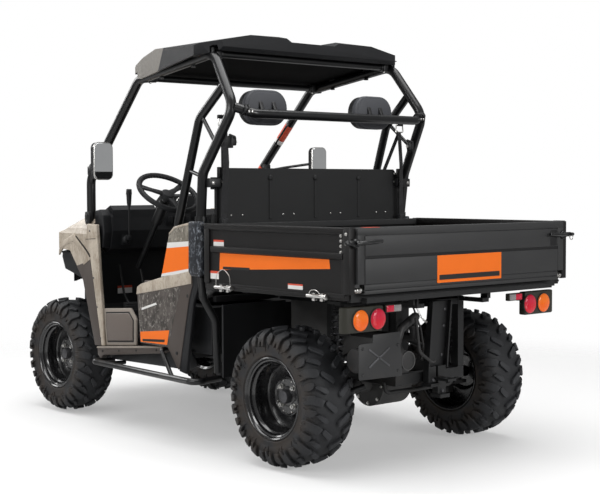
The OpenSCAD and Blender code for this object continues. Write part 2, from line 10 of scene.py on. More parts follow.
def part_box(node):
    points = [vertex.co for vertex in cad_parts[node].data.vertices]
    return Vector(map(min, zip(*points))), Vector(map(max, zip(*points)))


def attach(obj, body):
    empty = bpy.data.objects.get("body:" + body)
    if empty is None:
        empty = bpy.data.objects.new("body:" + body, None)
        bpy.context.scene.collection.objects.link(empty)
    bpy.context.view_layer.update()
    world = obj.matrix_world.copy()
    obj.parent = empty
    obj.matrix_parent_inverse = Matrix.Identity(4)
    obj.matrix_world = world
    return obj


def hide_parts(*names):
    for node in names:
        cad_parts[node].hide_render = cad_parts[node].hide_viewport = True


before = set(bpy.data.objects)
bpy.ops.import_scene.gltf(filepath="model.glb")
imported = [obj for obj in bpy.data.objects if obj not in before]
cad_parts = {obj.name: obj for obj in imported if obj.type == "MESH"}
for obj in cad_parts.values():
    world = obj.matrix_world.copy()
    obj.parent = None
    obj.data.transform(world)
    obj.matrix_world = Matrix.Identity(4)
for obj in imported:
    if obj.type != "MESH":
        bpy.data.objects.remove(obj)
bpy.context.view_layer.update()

# ---- Studio -------------------------------------------------------------------------
# A pale seamless floor under soft lamps: one wide lamp above, a long one along the left side, one behind
# the tail and one ahead of the nose. The camera stands low, off the left rear corner.

camera_data = bpy.data.cameras.new("camera")
camera_data.lens = 77.13
camera_data.sensor_width = 36.0
camera = bpy.data.objects.new("camera", camera_data)
bpy.context.scene.collection.objects.link(camera)
camera_yaw = math.radians(-41.409)
camera_pitch = math.radians(-2.701)
camera_roll = math.radians(-0.166)
ahead = Vector((
    math.cos(camera_pitch) * math.cos(camera_yaw),
    math.cos(camera_pitch) * math.sin(camera_yaw),
    math.sin(camera_pitch),
))
across = ahead.cross(Vector((0, 0, 1))).normalized()
upward = across.cross(ahead)
rolled_across = across * math.cos(camera_roll) + upward * math.sin(camera_roll)
rolled_up = upward * math.cos(camera_roll) - across * math.sin(camera_roll)
camera.matrix_world = Matrix.Translation((-5.438, 4.5, 1.304)) @ Matrix(
    (rolled_across, rolled_up, -ahead)
).transposed().to_4x4()
bpy.context.scene.camera = camera
bpy.context.scene.view_settings.view_transform = "Standard"


class Field:
    """A value that changes over a surface: one socket, used in sums like a number."""

    def __init__(self, tree, socket=None):
        self.tree = tree
        self.socket = socket

    def node(self, kind, settings=None, inputs=None, output=0):
        """Adds a node from its type, its settings, then its sockets' values or links."""
        node = self.tree.nodes.new("ShaderNode" + kind)
        for name, value in (settings or {}).items():
            if name == "stops":
                ramp = node.color_ramp
                while len(ramp.elements) < len(value):
                    ramp.elements.new(0.5)
                for stop, (position, colour) in zip(ramp.elements, value):
                    stop.position = position
                    stop.color = (*colour, 1.0)
            else:
                setattr(node, name, value)
        for name, value in (inputs or {}).items():
            if isinstance(value, Field):
                self.tree.links.new(value.socket, node.inputs[name])
            else:
                node.inputs[name].default_value = value
        return Field(self.tree, node.outputs[output] if node.outputs else None)

    def maths(self, operation, *values):
        return self.node("Math", {"operation": operation}, dict(enumerate(values)))

    def __add__(self, other):
        return self.maths("ADD", self, other)

    def __sub__(self, other):
        return self.maths("SUBTRACT", self, other)

    def __mul__(self, other):
        return self.maths("MULTIPLY", self, other)

    def __rsub__(self, other):
        return self.maths("SUBTRACT", other, self)

    __radd__ = __add__
    __rmul__ = __mul__

    def step(self, low, high):
        """Zero below low, one above high, and smooth between them."""
        settings = {"interpolation_type": "SMOOTHSTEP", "clamp": True}
        return self.node("MapRange", settings, {"Value": self, "From Min": low, "From Max": high})

    def part(self, axis):
        """The X, Y or Z of a place."""
        return self.node("SeparateXYZ", {}, {0: self}, output="XYZ".index(axis))

    def scaled(self, scale, turn=(0.0, 0.0, 0.0)):
        return self.node("Mapping", {}, {"Vector": self, "Scale": scale, "Rotation": turn})

    def cloud(self, scale, detail=3.0, rough=0.55, warp=0.0):
        """Soft noise from zero to one at this place."""
        inputs = {
            "Vector": self, "Scale": scale, "Detail": detail, "Roughness": rough,
            "Distortion": warp,
        }
        return self.node("TexNoise", {}, inputs)

    def cells(self, scale, feature="F1"):
        """Distance to the nearest of many scattered points, or to the edge between them."""
        return self.node(
            "TexVoronoi", {"feature": feature}, {"Vector": self, "Scale": scale}, "Distance"
        )


def mixed(mask, low, high):
    """The colour low where the mask is zero, and high where it is one."""
    colours = {
        key: (*value, 1.0) if isinstance(value, tuple) else value for key, value in (
            (6, low), (7, high)
        )
    }
    return mask.node("Mix", {"data_type": "RGBA"}, {0: mask, **colours}, output=2)


def new_finish(name):
    """Starts a material and returns the place on the piece, in metres."""
    material = bpy.data.materials.new(name)
    material.use_nodes = True
    material.node_tree.nodes.clear()
    start = Field(material.node_tree)
    start.material = material
    place = start.node("TexCoord", output="Object")
    place.material = material
    return place


def done(place, colour, roughness, bump=None, depth=0.001, **constants):
    """Ends a material with its shader. Names of other sockets use _ for each space."""
    material = place.material
    inputs = {"Base Color": colour, "Roughness": roughness}
    if isinstance(colour, tuple):
        inputs["Base Color"] = (*colour, 1.0)
    if bump is not None:
        inputs["Normal"] = place.node("Bump", {}, {"Height": bump, "Distance": depth})
    for name, value in constants.items():
        inputs[name.replace("_", " ")] = value
    shader = place.node("BsdfPrincipled", {}, inputs)
    place.node("OutputMaterial", {}, {"Surface": shader})
    return material


def floor_finish():
    """Matt paper floor that fades out a few metres from the vehicle."""
    place = new_finish("studio_floor")
    tone = place.cloud(0.6, 2.0)
    reach = place.node("VectorMath", {"operation": "LENGTH"}, {0: place}, "Value")
    paper = mixed(tone, (0.80, 0.80, 0.80), (0.83, 0.83, 0.83))
    return done(place, paper, 0.6, Specular_IOR_Level=0.2, Alpha=(1 - reach.step(2.7, 4.7)) * 0.66)


mesh = bmesh.new()
bmesh.ops.create_grid(mesh, x_segments=1, y_segments=1, size=40.0)
floor_data = bpy.data.meshes.new("studio_floor")
mesh.to_mesh(floor_data)
mesh.free()
floor_data.materials.append(floor_finish())
floor = bpy.data.objects.new("studio_floor", floor_data)
bpy.context.scene.collection.objects.link(floor)

# the backdrop is white where it is seen, and dimmer in what it lights and in reflections
world = bpy.data.worlds.new("studio")
world.use_nodes = True
world.node_tree.nodes.clear()
sky = Field(world.node_tree)
seen = sky.node("LightPath", {}, {}, "Is Camera Ray")
glow = sky.node("Background", {}, {"Color": (1.0, 1.0, 1.0, 1.0), "Strength": seen * 0.68 + 0.32})
sky.node("OutputWorld", {}, {"Surface": glow})
bpy.context.scene.world = world


def lamp(name, place, aim, width, height, power):
    """A soft rectangular lamp that faces a point."""
    data = bpy.data.lights.new(name, "AREA")
    data.shape = "RECTANGLE"
    data.size = width
    data.size_y = height
    data.energy = power
    light = bpy.data.objects.new(name, data)
    light.location = place
    light.rotation_euler = (Vector(aim) - Vector(place)).to_track_quat("-Z", "Y").to_euler()
    bpy.context.scene.collection.objects.link(light)


lamp("top_lamp", (-0.4, 0.4, 5.6), (0, 0, 0.6), 6.5, 4.6, 430)
lamp("left_lamp", (-0.6, 6.2, 3.0), (0, 0, 0.8), 5.0, 1.0, 150)
lamp("rear_lamp", (-7.5, -1.2, 2.6), (0, 0, 0.7), 3.0, 1.2, 205)
lamp("front_lamp", (6.0, 2.0, 3.6), (0, 0, 0.9), 3.0, 2.0, 120)

# ---- Tyres --------------------------------------------------------------------------
# Off-road tyres with tall directional lugs that wrap over the shoulder. Each carcass is
# turned from its section, and its lugs are flat blocks laid round it. Rubber, dusty.

TYRE_RADIUS = 0.33
LUG_HEIGHT = 0.0162
LUG_ROOT = 0.006
RIB_HEIGHT = 0.0035
PITCHES = 15


def rubber_finish():
    """Black rubber: clean on the lugs, with a painted cool highlight on their tops, and brown with dust on
    the side wall.
    """
    place = new_finish("tyre_rubber")
    reach_for_dust_and_highlight = place.node("Attribute", {"attribute_name": "reach"}, {}, "Fac")
    patch = place.cloud(14.0, 4.0)
    fine = place.cloud(260.0, 3.0)
    dusty = (1 - reach_for_dust_and_highlight.step(0.245, 0.312)) * patch.step(0.30, 0.62)
    # painted highlight: the lug tops get a lighter, cooler rubber colour
    lug_top_highlight = reach_for_dust_and_highlight.step(0.316, 0.324)
    rubber = mixed(
        fine, mixed(lug_top_highlight, (0.009, 0.0096, 0.0108), (0.030, 0.0315, 0.035)), (0.030, 0.031, 0.034)
    )
    colour = mixed(dusty * 0.85, rubber, (0.034, 0.027, 0.022))
    roughness = 0.50 + patch * 0.22
    return done(place, colour, roughness, fine, 0.0006, Specular_IOR_Level=0.32)


def piece(name, mesh, finish, body, smooth=32):
    """Makes a shown piece of a finished mesh, and rides it on its body."""
    data = bpy.data.meshes.new(name)
    mesh.to_mesh(data)
    mesh.free()
    for material in finish if isinstance(finish, list) else [finish]:
        data.materials.append(material)
    data.shade_smooth()
    data.set_sharp_from_angle(angle=math.radians(smooth))
    thing = bpy.data.objects.new(name, data)
    bpy.context.scene.collection.objects.link(thing)
    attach(thing, body)
    return thing


def lathe(mesh, outline, steps=64, closed=False):
    """Turns an outline of (along Y, out from Y) points round the Y axis."""
    verts = [mesh.verts.new((0.0, along, out)) for along, out in outline]
    edges = [mesh.edges.new(pair) for pair in zip(verts, verts[1:])]
    if closed:
        edges.append(mesh.edges.new((verts[-1], verts[0])))
    start = set(mesh.verts) - set(verts)
    bmesh.ops.spin(
        mesh, geom=verts + edges, cent=(0, 0, 0), axis=(0, 1, 0),
        angle=math.tau, steps=steps, use_merge=True,
    )
    made = [vert for vert in mesh.verts if vert not in start]
    bmesh.ops.remove_doubles(mesh, verts=made, dist=1e-6)
    faces = list({face for vert in mesh.verts if vert not in start for face in vert.link_faces})
    bmesh.ops.recalc_face_normals(mesh, faces=faces)


def tyre_section(half):
    """Outer half section from the crown to the bead, as (along, out) points."""
    return [
        (0.0, 0.3135), (half - 0.088, 0.312), (half - 0.058, 0.308), (half - 0.034, 0.299),
        (half - 0.018, 0.284), (half - 0.010, 0.266), (half - 0.006, 0.247), (half - 0.007, 0.228),
        (half - 0.010, 0.211), (half - 0.0075, 0.206), (half - 0.0075, 0.200),
        (half - 0.012, 0.197), (half - 0.018, 0.187), (half - 0.022, 0.182),
    ]


def on_tyre(section, across, around, height):
    """The point that lies this far from the crown along the section, and its height."""
    side = -1.0 if across < 0 else 1.0
    left = abs(across)
    for (y0, r0), (y1, r1) in zip(section, section[1:]):
        length = math.hypot(y1 - y0, r1 - r0)
        if left <= length or (y1, r1) == section[-1]:
            break
        left -= length
    share = left / length
    out = Vector((r0 - r1, y1 - y0)).normalized()
    along = y0 + (y1 - y0) * share + out.x * height
    radius = r0 + (r1 - r0) * share + out.y * height
    turn = around / TYRE_RADIUS
    return Vector((radius * math.sin(turn), side * along, radius * math.cos(turn)))


def ease_edges(mesh, edges, width, steps=2):
    """Rounds the given edges."""
    bmesh.ops.bevel(
        mesh, geom=edges, offset=width, segments=steps, profile=0.5, affect="EDGES", material=-1,
        clamp_overlap=True,
    )


def absorb(mesh, part):
    """Adds a part to a mesh, and frees the part."""
    scrap = bpy.data.meshes.new("part")
    part.to_mesh(scrap)
    part.free()
    mesh.from_mesh(scrap)
    bpy.data.meshes.remove(scrap)


def flip(mesh):
    """Turns a left-hand mesh into its right-hand one."""
    bmesh.ops.scale(mesh, vec=(1, -1, 1), verts=mesh.verts)
    bmesh.ops.reverse_faces(mesh, faces=mesh.faces)


def circle(centre, first, second, steps):
    """A closed loop of points about a centre, from two vectors as long as its radii."""
    return [
        centre + first * math.cos(turn) + second * math.sin(turn)
        for turn in (math.tau * step / steps for step in range(steps + 1))
    ]


def skin(mesh, rings):
    """Joins rings of as many vertices each into a closed tube."""
    faces = [
        mesh.faces.new((ring[step - 1], ring[step], later[step], later[step - 1]))
        for ring, later in zip(rings, rings[1:]) for step in range(len(ring))
    ]
    faces += [mesh.faces.new(rings[0]), mesh.faces.new(rings[-1])]
    bmesh.ops.recalc_face_normals(mesh, faces=faces)


def lug(mesh, section, outline, height, side, shift):
    """One tread block from its outline of (across, around) points, laid on the tyre."""
    block = bmesh.new()
    base = block.faces.new([block.verts.new((across, around, 0.0)) for across, around in outline])
    top = bmesh.ops.extrude_face_region(block, geom=[base])
    raised = [item for item in top["geom"] if isinstance(item, bmesh.types.BMVert)]
    bmesh.ops.translate(block, verts=raised, vec=(0, 0, height + LUG_ROOT))
    rim = {edge for vert in raised for edge in vert.link_edges}
    ease_edges(block, list(rim), 0.0022, 1)
    low = min(vert.co.x for vert in block.verts)
    high = max(vert.co.x for vert in block.verts)
    cuts = max(1, round((high - low) / 0.016))
    for cut in range(1, cuts):
        bmesh.ops.bisect_plane(
            block, geom=block.verts[:] + block.edges[:] + block.faces[:],
            plane_co=(low + (high - low) * cut / cuts, 0, 0), plane_no=(1, 0, 0),
        )
    bmesh.ops.recalc_face_normals(block, faces=block.faces)
    for vert in block.verts:
        vert.co = on_tyre(section, side * vert.co.x, vert.co.y + shift, vert.co.z - LUG_ROOT)
    bmesh.ops.recalc_face_normals(block, faces=block.faces)
    absorb(mesh, block)


def tyre_mesh(width):
    """A whole tyre on the Y axis about the origin, with its outer side towards +Y."""
    half = width / 2
    section = tyre_section(half)
    mirrored = [(-along, out) for along, out in reversed(section[1:])]
    mesh = bmesh.new()
    lathe(
        mesh, mirrored + section + [(half - 0.040, 0.184), (-half + 0.040, 0.184)], 96, closed=True
    )
    pitch = math.tau * TYRE_RADIUS / PITCHES
    for side in (1, -1):
        for number in range(PITCHES):
            shift = pitch * (number + (0.5 if side < 0 else 0.0))
            # bar from the crown, swept back
            lug(mesh, section, [
                (0.008, 0.004), (0.022, -0.006), (half - 0.066, 0.034), (half - 0.060, 0.050),
                (half - 0.072, 0.060), (0.012, 0.022),
            ], LUG_HEIGHT, side, shift)
            # shoulder block with a notch, bent over the edge of the tread
            lug(mesh, section, [
                (half - 0.052, 0.040), (half - 0.040, 0.032), (half - 0.004, 0.044),
                (half + 0.030, 0.040), (half + 0.036, 0.056), (half + 0.012, 0.064),
                (half + 0.014, 0.074), (half + 0.034, 0.080), (half + 0.026, 0.092),
                (half - 0.008, 0.090), (half - 0.048, 0.074), (half - 0.060, 0.060),
            ], LUG_HEIGHT, side, shift)
            # smaller block between two bars
            lug(mesh, section, [
                (0.050, -0.042), (0.064, -0.052), (half - 0.034, -0.026), (half - 0.024, -0.012),
                (half - 0.038, -0.004), (0.060, -0.024),
            ], LUG_HEIGHT, side, shift)
            # wedge on the shoulder
            lug(mesh, section, [
                (half - 0.016, -0.018), (half - 0.002, -0.026), (half + 0.028, -0.014),
                (half + 0.022, 0.010), (half - 0.002, 0.020), (half - 0.024, 0.012),
                (half - 0.026, 0.000),
            ], LUG_HEIGHT - 0.002, side, shift)
            # low ribs down the side wall
            lug(mesh, section, [
                (half + 0.030, 0.040), (half + 0.056, 0.046), (half + 0.058, 0.052),
                (half + 0.034, 0.050), (half + 0.030, 0.046),
            ], RIB_HEIGHT, side, shift)
            lug(mesh, section, [
                (half + 0.030, 0.006), (half + 0.050, 0.020), (half + 0.048, 0.026),
                (half + 0.028, 0.012),
            ], RIB_HEIGHT, side, shift)
    reach = mesh.verts.layers.float.new("reach")
    for vert in mesh.verts:
        vert[reach] = math.hypot(vert.co.x, vert.co.z)
    return mesh


def place_on_axle(mesh, centre, side):
    """Moves a left-hand wheel part to its axle, and mirrors it for the right."""
    if side < 0:
        flip(mesh)
    bmesh.ops.translate(mesh, verts=mesh.verts, vec=centre)


WHEELS = [
    (end, side, "left" if side > 0 else "right") for end in ("front", "rear") for side in (1, -1)
]
rubber = rubber_finish()
wheel_centres = {}
for end, side, hand in WHEELS:
    low, high = (Vector(corner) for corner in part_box(f"tyre_{end}_{hand}"))
    centre = (low + high) / 2
    wheel_centres[end, side] = centre
    mesh = tyre_mesh(high.y - low.y)
    place_on_axle(mesh, centre, side)
    tyre = piece(f"{end}_{hand}_tyre", mesh, rubber, f"{end}_{hand}_wheel", 38)
    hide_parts(f"tyre_{end}_{hand}")

# ---- Steel rims ---------------------------------------------------------------------
# Deep pressed-steel rims in gloss black, with a domed centre, a cap, four plated nuts on
# their studs, and a rubber valve. The section is turned, and the nuts are added.


def gloss_black_finish():
    place = new_finish("rim_enamel")
    patch = place.cloud(22.0, 3.0)
    colour = mixed(patch, (0.0045, 0.0045, 0.005), (0.011, 0.011, 0.012))
    return done(place, colour, 0.16 + patch * 0.20, place.cloud(160.0), 0.00008, Coat_Weight=0.6)


def plated_finish():
    place = new_finish("plated_steel")
    patch = place.cloud(90.0, 3.0)
    colour = mixed(patch, (0.50, 0.49, 0.47), (0.72, 0.71, 0.69))
    return done(place, colour, 0.20 + patch * 0.22, Metallic=1.0)


def dull_cap_finish():
    place = new_finish("grey_cap")
    patch = place.cloud(120.0, 3.0)
    return done(place, mixed(patch, (0.05, 0.05, 0.055), (0.11, 0.11, 0.115)), 0.42, Metallic=0.6)


enamel = gloss_black_finish()
plated = plated_finish()
dull_cap = dull_cap_finish()


def rod(mesh, start, end, radius, sides=16, taper=1.0, edge=0.0):
    """A round bar between two points, with its end edges eased."""
    start, end = Vector(start), Vector(end)
    length = (end - start).length
    turn = (end - start).to_track_quat("Z", "Y").to_matrix().to_4x4()
    made = bmesh.ops.create_cone(
        mesh, cap_ends=True, segments=sides, radius1=radius, radius2=radius * taper, depth=length,
        matrix=Matrix.Translation((start + end) / 2) @ turn,
    )
    if edge:
        rims = [
            item for item in {edge_ for vert in made["verts"] for edge_ in vert.link_edges}
            if any(len(face.verts) > 4 or sides <= 4 for face in item.link_faces)
        ]
        ease_edges(mesh, rims, edge)


def hex_nut(mesh, place, direction, across_flats, height):
    """A hexagon nut with its washer face, and the stud's end standing out of it."""
    place, direction = Vector(place), Vector(direction).normalized()
    rod(mesh, place, place + direction * 0.0025, across_flats * 0.62, 20)
    rod(mesh, place, place + direction * height, across_flats * 0.56, 6, 0.97, 0.0012)
    rod(mesh, place, place + direction * (height + 0.006), across_flats * 0.27, 12, 0.9, 0.001)


for end, side, hand in WHEELS:
    low, high = (Vector(corner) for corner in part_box(f"rim_{end}_{hand}"))
    lip = (high.y - low.y) / 2
    disc = 0.010 if end == "front" else 0.014
    mesh = bmesh.new()
    lathe(mesh, [
        (lip, 0.190), (lip + 0.001, 0.1875), (lip - 0.001, 0.184), (lip - 0.006, 0.1805),
        (lip - 0.012, 0.1780), (lip - 0.016, 0.1715), (lip - 0.028, 0.1700), (lip - 0.034, 0.1660),
        (lip - 0.040, 0.1600), (lip - 0.058, 0.1590), (disc - 0.004, 0.1570),
        (disc - 0.010, 0.1520), (disc - 0.013, 0.1400), (disc - 0.013, 0.1080),
        (disc - 0.010, 0.1010), (disc + 0.002, 0.0960), (disc + 0.010, 0.0910),
        (disc + 0.0115, 0.0860), (disc + 0.009, 0.0830), (disc + 0.006, 0.0800),
        (disc + 0.006, 0.0480), (disc + 0.010, 0.0440), (disc + 0.012, 0.0330),
        (disc + 0.012, 0.0270),
    ], 72)
    lathe(mesh, [
        (lip, 0.190), (lip - 0.003, 0.1925), (lip - 0.0055, 0.190), (lip - 0.012, 0.182),
        (lip - 0.030, 0.1785), (0.02, 0.168), (-0.02, 0.168), (-lip + 0.030, 0.1785),
        (-lip + 0.012, 0.182), (-lip + 0.004, 0.190), (-lip, 0.1905), (-lip, 0.187),
        (-lip + 0.010, 0.174), (-lip + 0.034, 0.170), (-lip + 0.052, 0.162), (disc - 0.016, 0.160),
        (disc - 0.018, 0.140), (disc - 0.018, 0.100), (disc + 0.001, 0.080), (disc + 0.001, 0.030),
    ], 72)
    bmesh.ops.remove_doubles(mesh, verts=mesh.verts, dist=1e-5)
    place_on_axle(mesh, wheel_centres[end, side], side)
    bmesh.ops.recalc_face_normals(mesh, faces=mesh.faces)
    body = f"{end}_{hand}_wheel"
    rim = piece(f"{end}_{hand}_rim", mesh, enamel, body, 30)
    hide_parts(f"rim_{end}_{hand}")

    mesh = bmesh.new()
    lathe(mesh, [
        (disc + 0.004, 0.0330), (disc + 0.030, 0.0320), (disc + 0.037, 0.0290),
        (disc + 0.040, 0.0200), (disc + 0.041, 0.0),
    ], 40)
    place_on_axle(mesh, wheel_centres[end, side], side)
    piece(f"{end}_{hand}_cap", mesh, dull_cap, body, 30)

    mesh = bmesh.new()
    for turn in range(4):
        angle = math.radians(45 + 90 * turn)
        spot = Vector((0.060 * math.sin(angle), disc + 0.006, 0.060 * math.cos(angle)))
        hex_nut(mesh, spot, (0, 1, 0), 0.021, 0.016)
    for turn in range(8):
        angle = math.radians(22.5 + 45 * turn)
        spot = Vector((0.076 * math.sin(angle), disc + 0.006, 0.076 * math.cos(angle)))
        rod(mesh, spot, spot + Vector((0, 0.003, 0)), 0.0035, 10)
    place_on_axle(mesh, wheel_centres[end, side], side)
    piece(f"{end}_{hand}_nuts", mesh, plated, body, 30)

    mesh = bmesh.new()
    foot = Vector((0.080, lip - 0.060, 0.136))
    rod(mesh, foot + Vector((0.006, -0.004, 0.012)), foot, 0.0085, 12, 0.7)
    rod(mesh, foot, foot + Vector((-0.012, 0.020, -0.020)), 0.0048, 12, 0.9, 0.0008)
    place_on_axle(mesh, wheel_centres[end, side], side)
    piece(f"{end}_{hand}_valve", mesh, rubber, body, 30)

# ---- Frame, axles and running gear ----------------------------------------------------
# Welded box-section chassis, powder-coated satin black, with cast gear cases, rubber-
# booted half shafts and forged knuckles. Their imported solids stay, with edges eased.


def satin_black_finish(name, low, high, roughness, coat=0.0, shine=0.35):
    """Powder coat: fine orange peel, faint mottling, and dust that settles low down."""
    place = new_finish(name)
    patch = place.cloud(7.0, 4.0)
    peel = place.cloud(420.0, 2.0)
    dust = (1 - place.part("Z").step(0.22, 0.62)) * patch.step(0.48, 0.80)
    colour = mixed(dust * 0.30, mixed(patch, low, high), (0.085, 0.072, 0.060))
    return done(
        place, colour, patch * 0.14 + roughness, peel, 0.00012, Coat_Weight=coat,
        Coat_Roughness=0.2,
        Specular_IOR_Level=shine,
    )


def cast_finish():
    place = new_finish("cast_metal")
    patch = place.cloud(11.0, 4.0)
    sand = place.cloud(340.0, 4.0)
    colour = mixed(patch, (0.045, 0.045, 0.047), (0.11, 0.108, 0.104))
    return done(place, colour, 0.55 + patch * 0.2, sand, 0.0005, Metallic=0.35)


def plain_rubber_finish():
    place = new_finish("soft_rubber")
    patch = place.cloud(30.0, 3.0)
    colour = mixed(patch, (0.010, 0.010, 0.011), (0.024, 0.023, 0.022))
    return done(place, colour, 0.55 + patch * 0.2, place.cloud(300.0), 0.0002)


def grained_plastic_finish(name, low, high, roughness):
    """Moulded plastic: a leather-like grain, with scuffs that dull it in places."""
    place = new_finish(name)
    patch = place.cloud(5.0, 5.0)
    pebbles = place.cells(520.0)
    colour = mixed(patch, low, high)
    return done(place, colour, patch * 0.16 + roughness, pebbles, 0.00035, Specular_IOR_Level=0.3)


frame_black = satin_black_finish(
    "frame_powder_coat", (0.0060, 0.0062, 0.0066), (0.012, 0.0122, 0.013), 0.36
)
tube_black = satin_black_finish(
    "tube_paint", (0.0030, 0.0032, 0.0036), (0.006, 0.0062, 0.0068), 0.24, 0.08, 0.42
)
cast_metal = cast_finish()
boot_rubber = plain_rubber_finish()
black_plastic = grained_plastic_finish(
    "black_plastic", (0.0060, 0.0064, 0.0074), (0.012, 0.0125, 0.014), 0.44
)


def keep_solid(node, finish, width=0.003, steps=2, angle=32):
    """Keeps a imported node, gives it its finish and eases its edges."""
    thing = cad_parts[node]
    thing.data.materials.clear()
    thing.data.materials.append(finish)
    weld = thing.modifiers.new("weld", "WELD")
    weld.merge_threshold = 0.00005
    ease = thing.modifiers.new("ease", "BEVEL")
    ease.width = width
    ease.segments = steps
    ease.limit_method = "ANGLE"
    ease.angle_limit = math.radians(angle)
    ease.use_clamp_overlap = True
    ease.harden_normals = False
    return thing


for node, finish, width in (
    ("main_frame", frame_black, 0.004), ("front_frame", frame_black, 0.004),
    ("rear_frame", frame_black, 0.003),
    ("outriggers", frame_black, 0.003), ("floor_pan", black_plastic, 0.002),
    ("engine_block", cast_metal, 0.006),
    ("differentials", cast_metal, 0.006), ("halfshafts", boot_rubber, 0.004),
    ("suspension_arms", frame_black, 0.003),
    ("knuckle_left", cast_metal, 0.004), ("knuckle_right", cast_metal, 0.004),
    ("seat_base", black_plastic, 0.004),
    ("wheel_liners", black_plastic, 0.001), ("steering_column", frame_black, 0.002),
    ("front_bumper", tube_black, 0.001), ("step_bars", tube_black, 0.001),
):
    keep_solid(node, finish, width)


def brick(mesh, low, high, edge=0.002, steps=2):
    """A box between two corners, with every edge rounded."""
    low, high = Vector(low), Vector(high)
    matrix = Matrix.Translation((low + high) / 2) @ Matrix.Diagonal((*(high - low), 1.0))
    made = bmesh.ops.create_cube(mesh, size=1.0, matrix=matrix)
    if edge:
        edges = list({item for vert in made["verts"] for item in vert.link_edges})
        ease_edges(mesh, edges, edge, steps)
    return made


def mirror_copy(mesh):
    """Adds the right-hand copy of everything in a left-hand mesh."""
    made = bmesh.ops.duplicate(mesh, geom=mesh.verts[:] + mesh.edges[:] + mesh.faces[:])["geom"]
    verts = [item for item in made if isinstance(item, bmesh.types.BMVert)]
    bmesh.ops.scale(mesh, vec=(1, -1, 1), verts=verts)
    bmesh.ops.reverse_faces(
        mesh, faces=[item for item in made if isinstance(item, bmesh.types.BMFace)]
    )


def plate(mesh, outline, axis, low, high, edge=0.002, steps=2):
    """A flat outline pushed out along an axis from low to high, with its rims rounded."""
    place = {
        "X": lambda a, b: (low, a, b), "Y": lambda a, b: (a, low, b), "Z": lambda a, b: (a, b, low),
    }[axis]
    face = mesh.faces.new([mesh.verts.new(place(a, b)) for a, b in outline])
    vec = Vector([high - low if letter == axis else 0.0 for letter in "XYZ"])
    made = bmesh.ops.extrude_face_region(mesh, geom=[face])
    raised = [item for item in made["geom"] if isinstance(item, bmesh.types.BMVert)]
    bmesh.ops.translate(mesh, verts=raised, vec=vec)
    faces = list({item for vert in raised for item in vert.link_faces} | {face})
    bmesh.ops.recalc_face_normals(mesh, faces=faces)
    if edge:
        edges = list({item for part in faces for item in part.edges})
        ease_edges(mesh, edges, edge, steps)


def pipe_path(points, bend, steps=8):
    """A route of points with each corner turned into a round bend."""
    route = [Vector(point) for point in points]
    path = [route[0]]
    for before, corner, after in zip(route, route[1:], route[2:]):
        first = (before - corner).normalized()
        last = (after - corner).normalized()
        half = first.angle(last) / 2
        if bend * math.cos(half) < 1e-4:
            path.append(corner)
            continue
        reach = min((before - corner).length, (after - corner).length) * 0.49
        radius = min(bend, reach * math.tan(half))
        trim = radius / math.tan(half)
        hub = corner + (first + last).normalized() * (radius / math.sin(half))
        start = (corner + first * trim - hub).normalized()
        end = (corner + last * trim - hub).normalized()
        path += [
            hub + start.slerp(end, step / steps).normalized() * radius for step in range(steps + 1)
        ]
    return path + [route[-1]]


def pipe(mesh, points, radius, bend=0.03, sides=12):
    """A round tube or hose along a route, closed at both ends."""
    path = pipe_path(points, bend)
    rings = []
    side = None
    for number, point in enumerate(path):
        before, after = path[max(0, number - 1)], path[min(len(path) - 1, number + 1)]
        along = (after - before).normalized()
        if side is None:
            side = along.orthogonal().normalized()
        side = (side - along * side.dot(along)).normalized()
        other = along.cross(side)
        rings.append([
            mesh.verts.new(point + (side * math.cos(turn) + other * math.sin(turn)) * radius)
            for turn in (math.tau * step / sides for step in range(sides))
        ])
    skin(mesh, rings)


def bolt(mesh, place, direction, across_flats=0.013, height=0.006):
    """A hexagon bolt head on its washer."""
    place, direction = Vector(place), Vector(direction).normalized()
    rod(mesh, place - direction * 0.001, place + direction * 0.0022, across_flats * 0.68, 16)
    rod(mesh, place, place + direction * height, across_flats * 0.56, 6, 0.96, 0.0008)


# ---- Springs and hoses ----------------------------------------------------------------
# Coil-over springs at all four corners: a bright-edged coil on a black damper body, with
# a collar at each end. Corrugated boots cover the half shafts, and a brake hose sags.


def spring_finish():
    place = new_finish("spring_steel")
    patch = place.cloud(18.0, 3.0)
    return done(place, mixed(patch, (0.018, 0.018, 0.020), (0.05, 0.05, 0.055)), 0.30, Metallic=0.5)


def coil(mesh, top, foot, radius, wire, turns):
    """A spring: a helix of round wire between two points."""
    sides = 8
    top, foot = Vector(top), Vector(foot)
    along = (foot - top).normalized()
    side = along.orthogonal().normalized()
    other = along.cross(side)
    steps = int(turns * 20)
    path = [
        top + (foot - top) * step / steps
        + (side * math.cos(step * math.tau / 20) + other * math.sin(step * math.tau / 20)) * radius
        for step in range(steps + 1)
    ]
    pipe(mesh, [path[0], path[1]], wire, 0, sides)
    rings = []
    for number, point in enumerate(path):
        before, after = path[max(0, number - 1)], path[min(steps, number + 1)]
        run = (after - before).normalized()
        out = (point - top - along * (point - top).dot(along)).normalized()
        up = run.cross(out).normalized()
        out = up.cross(run)
        rings.append([
            mesh.verts.new(point + (out * math.cos(turn) + up * math.sin(turn)) * wire)
            for turn in (math.tau * step / sides for step in range(sides))
        ])
    skin(mesh, rings)


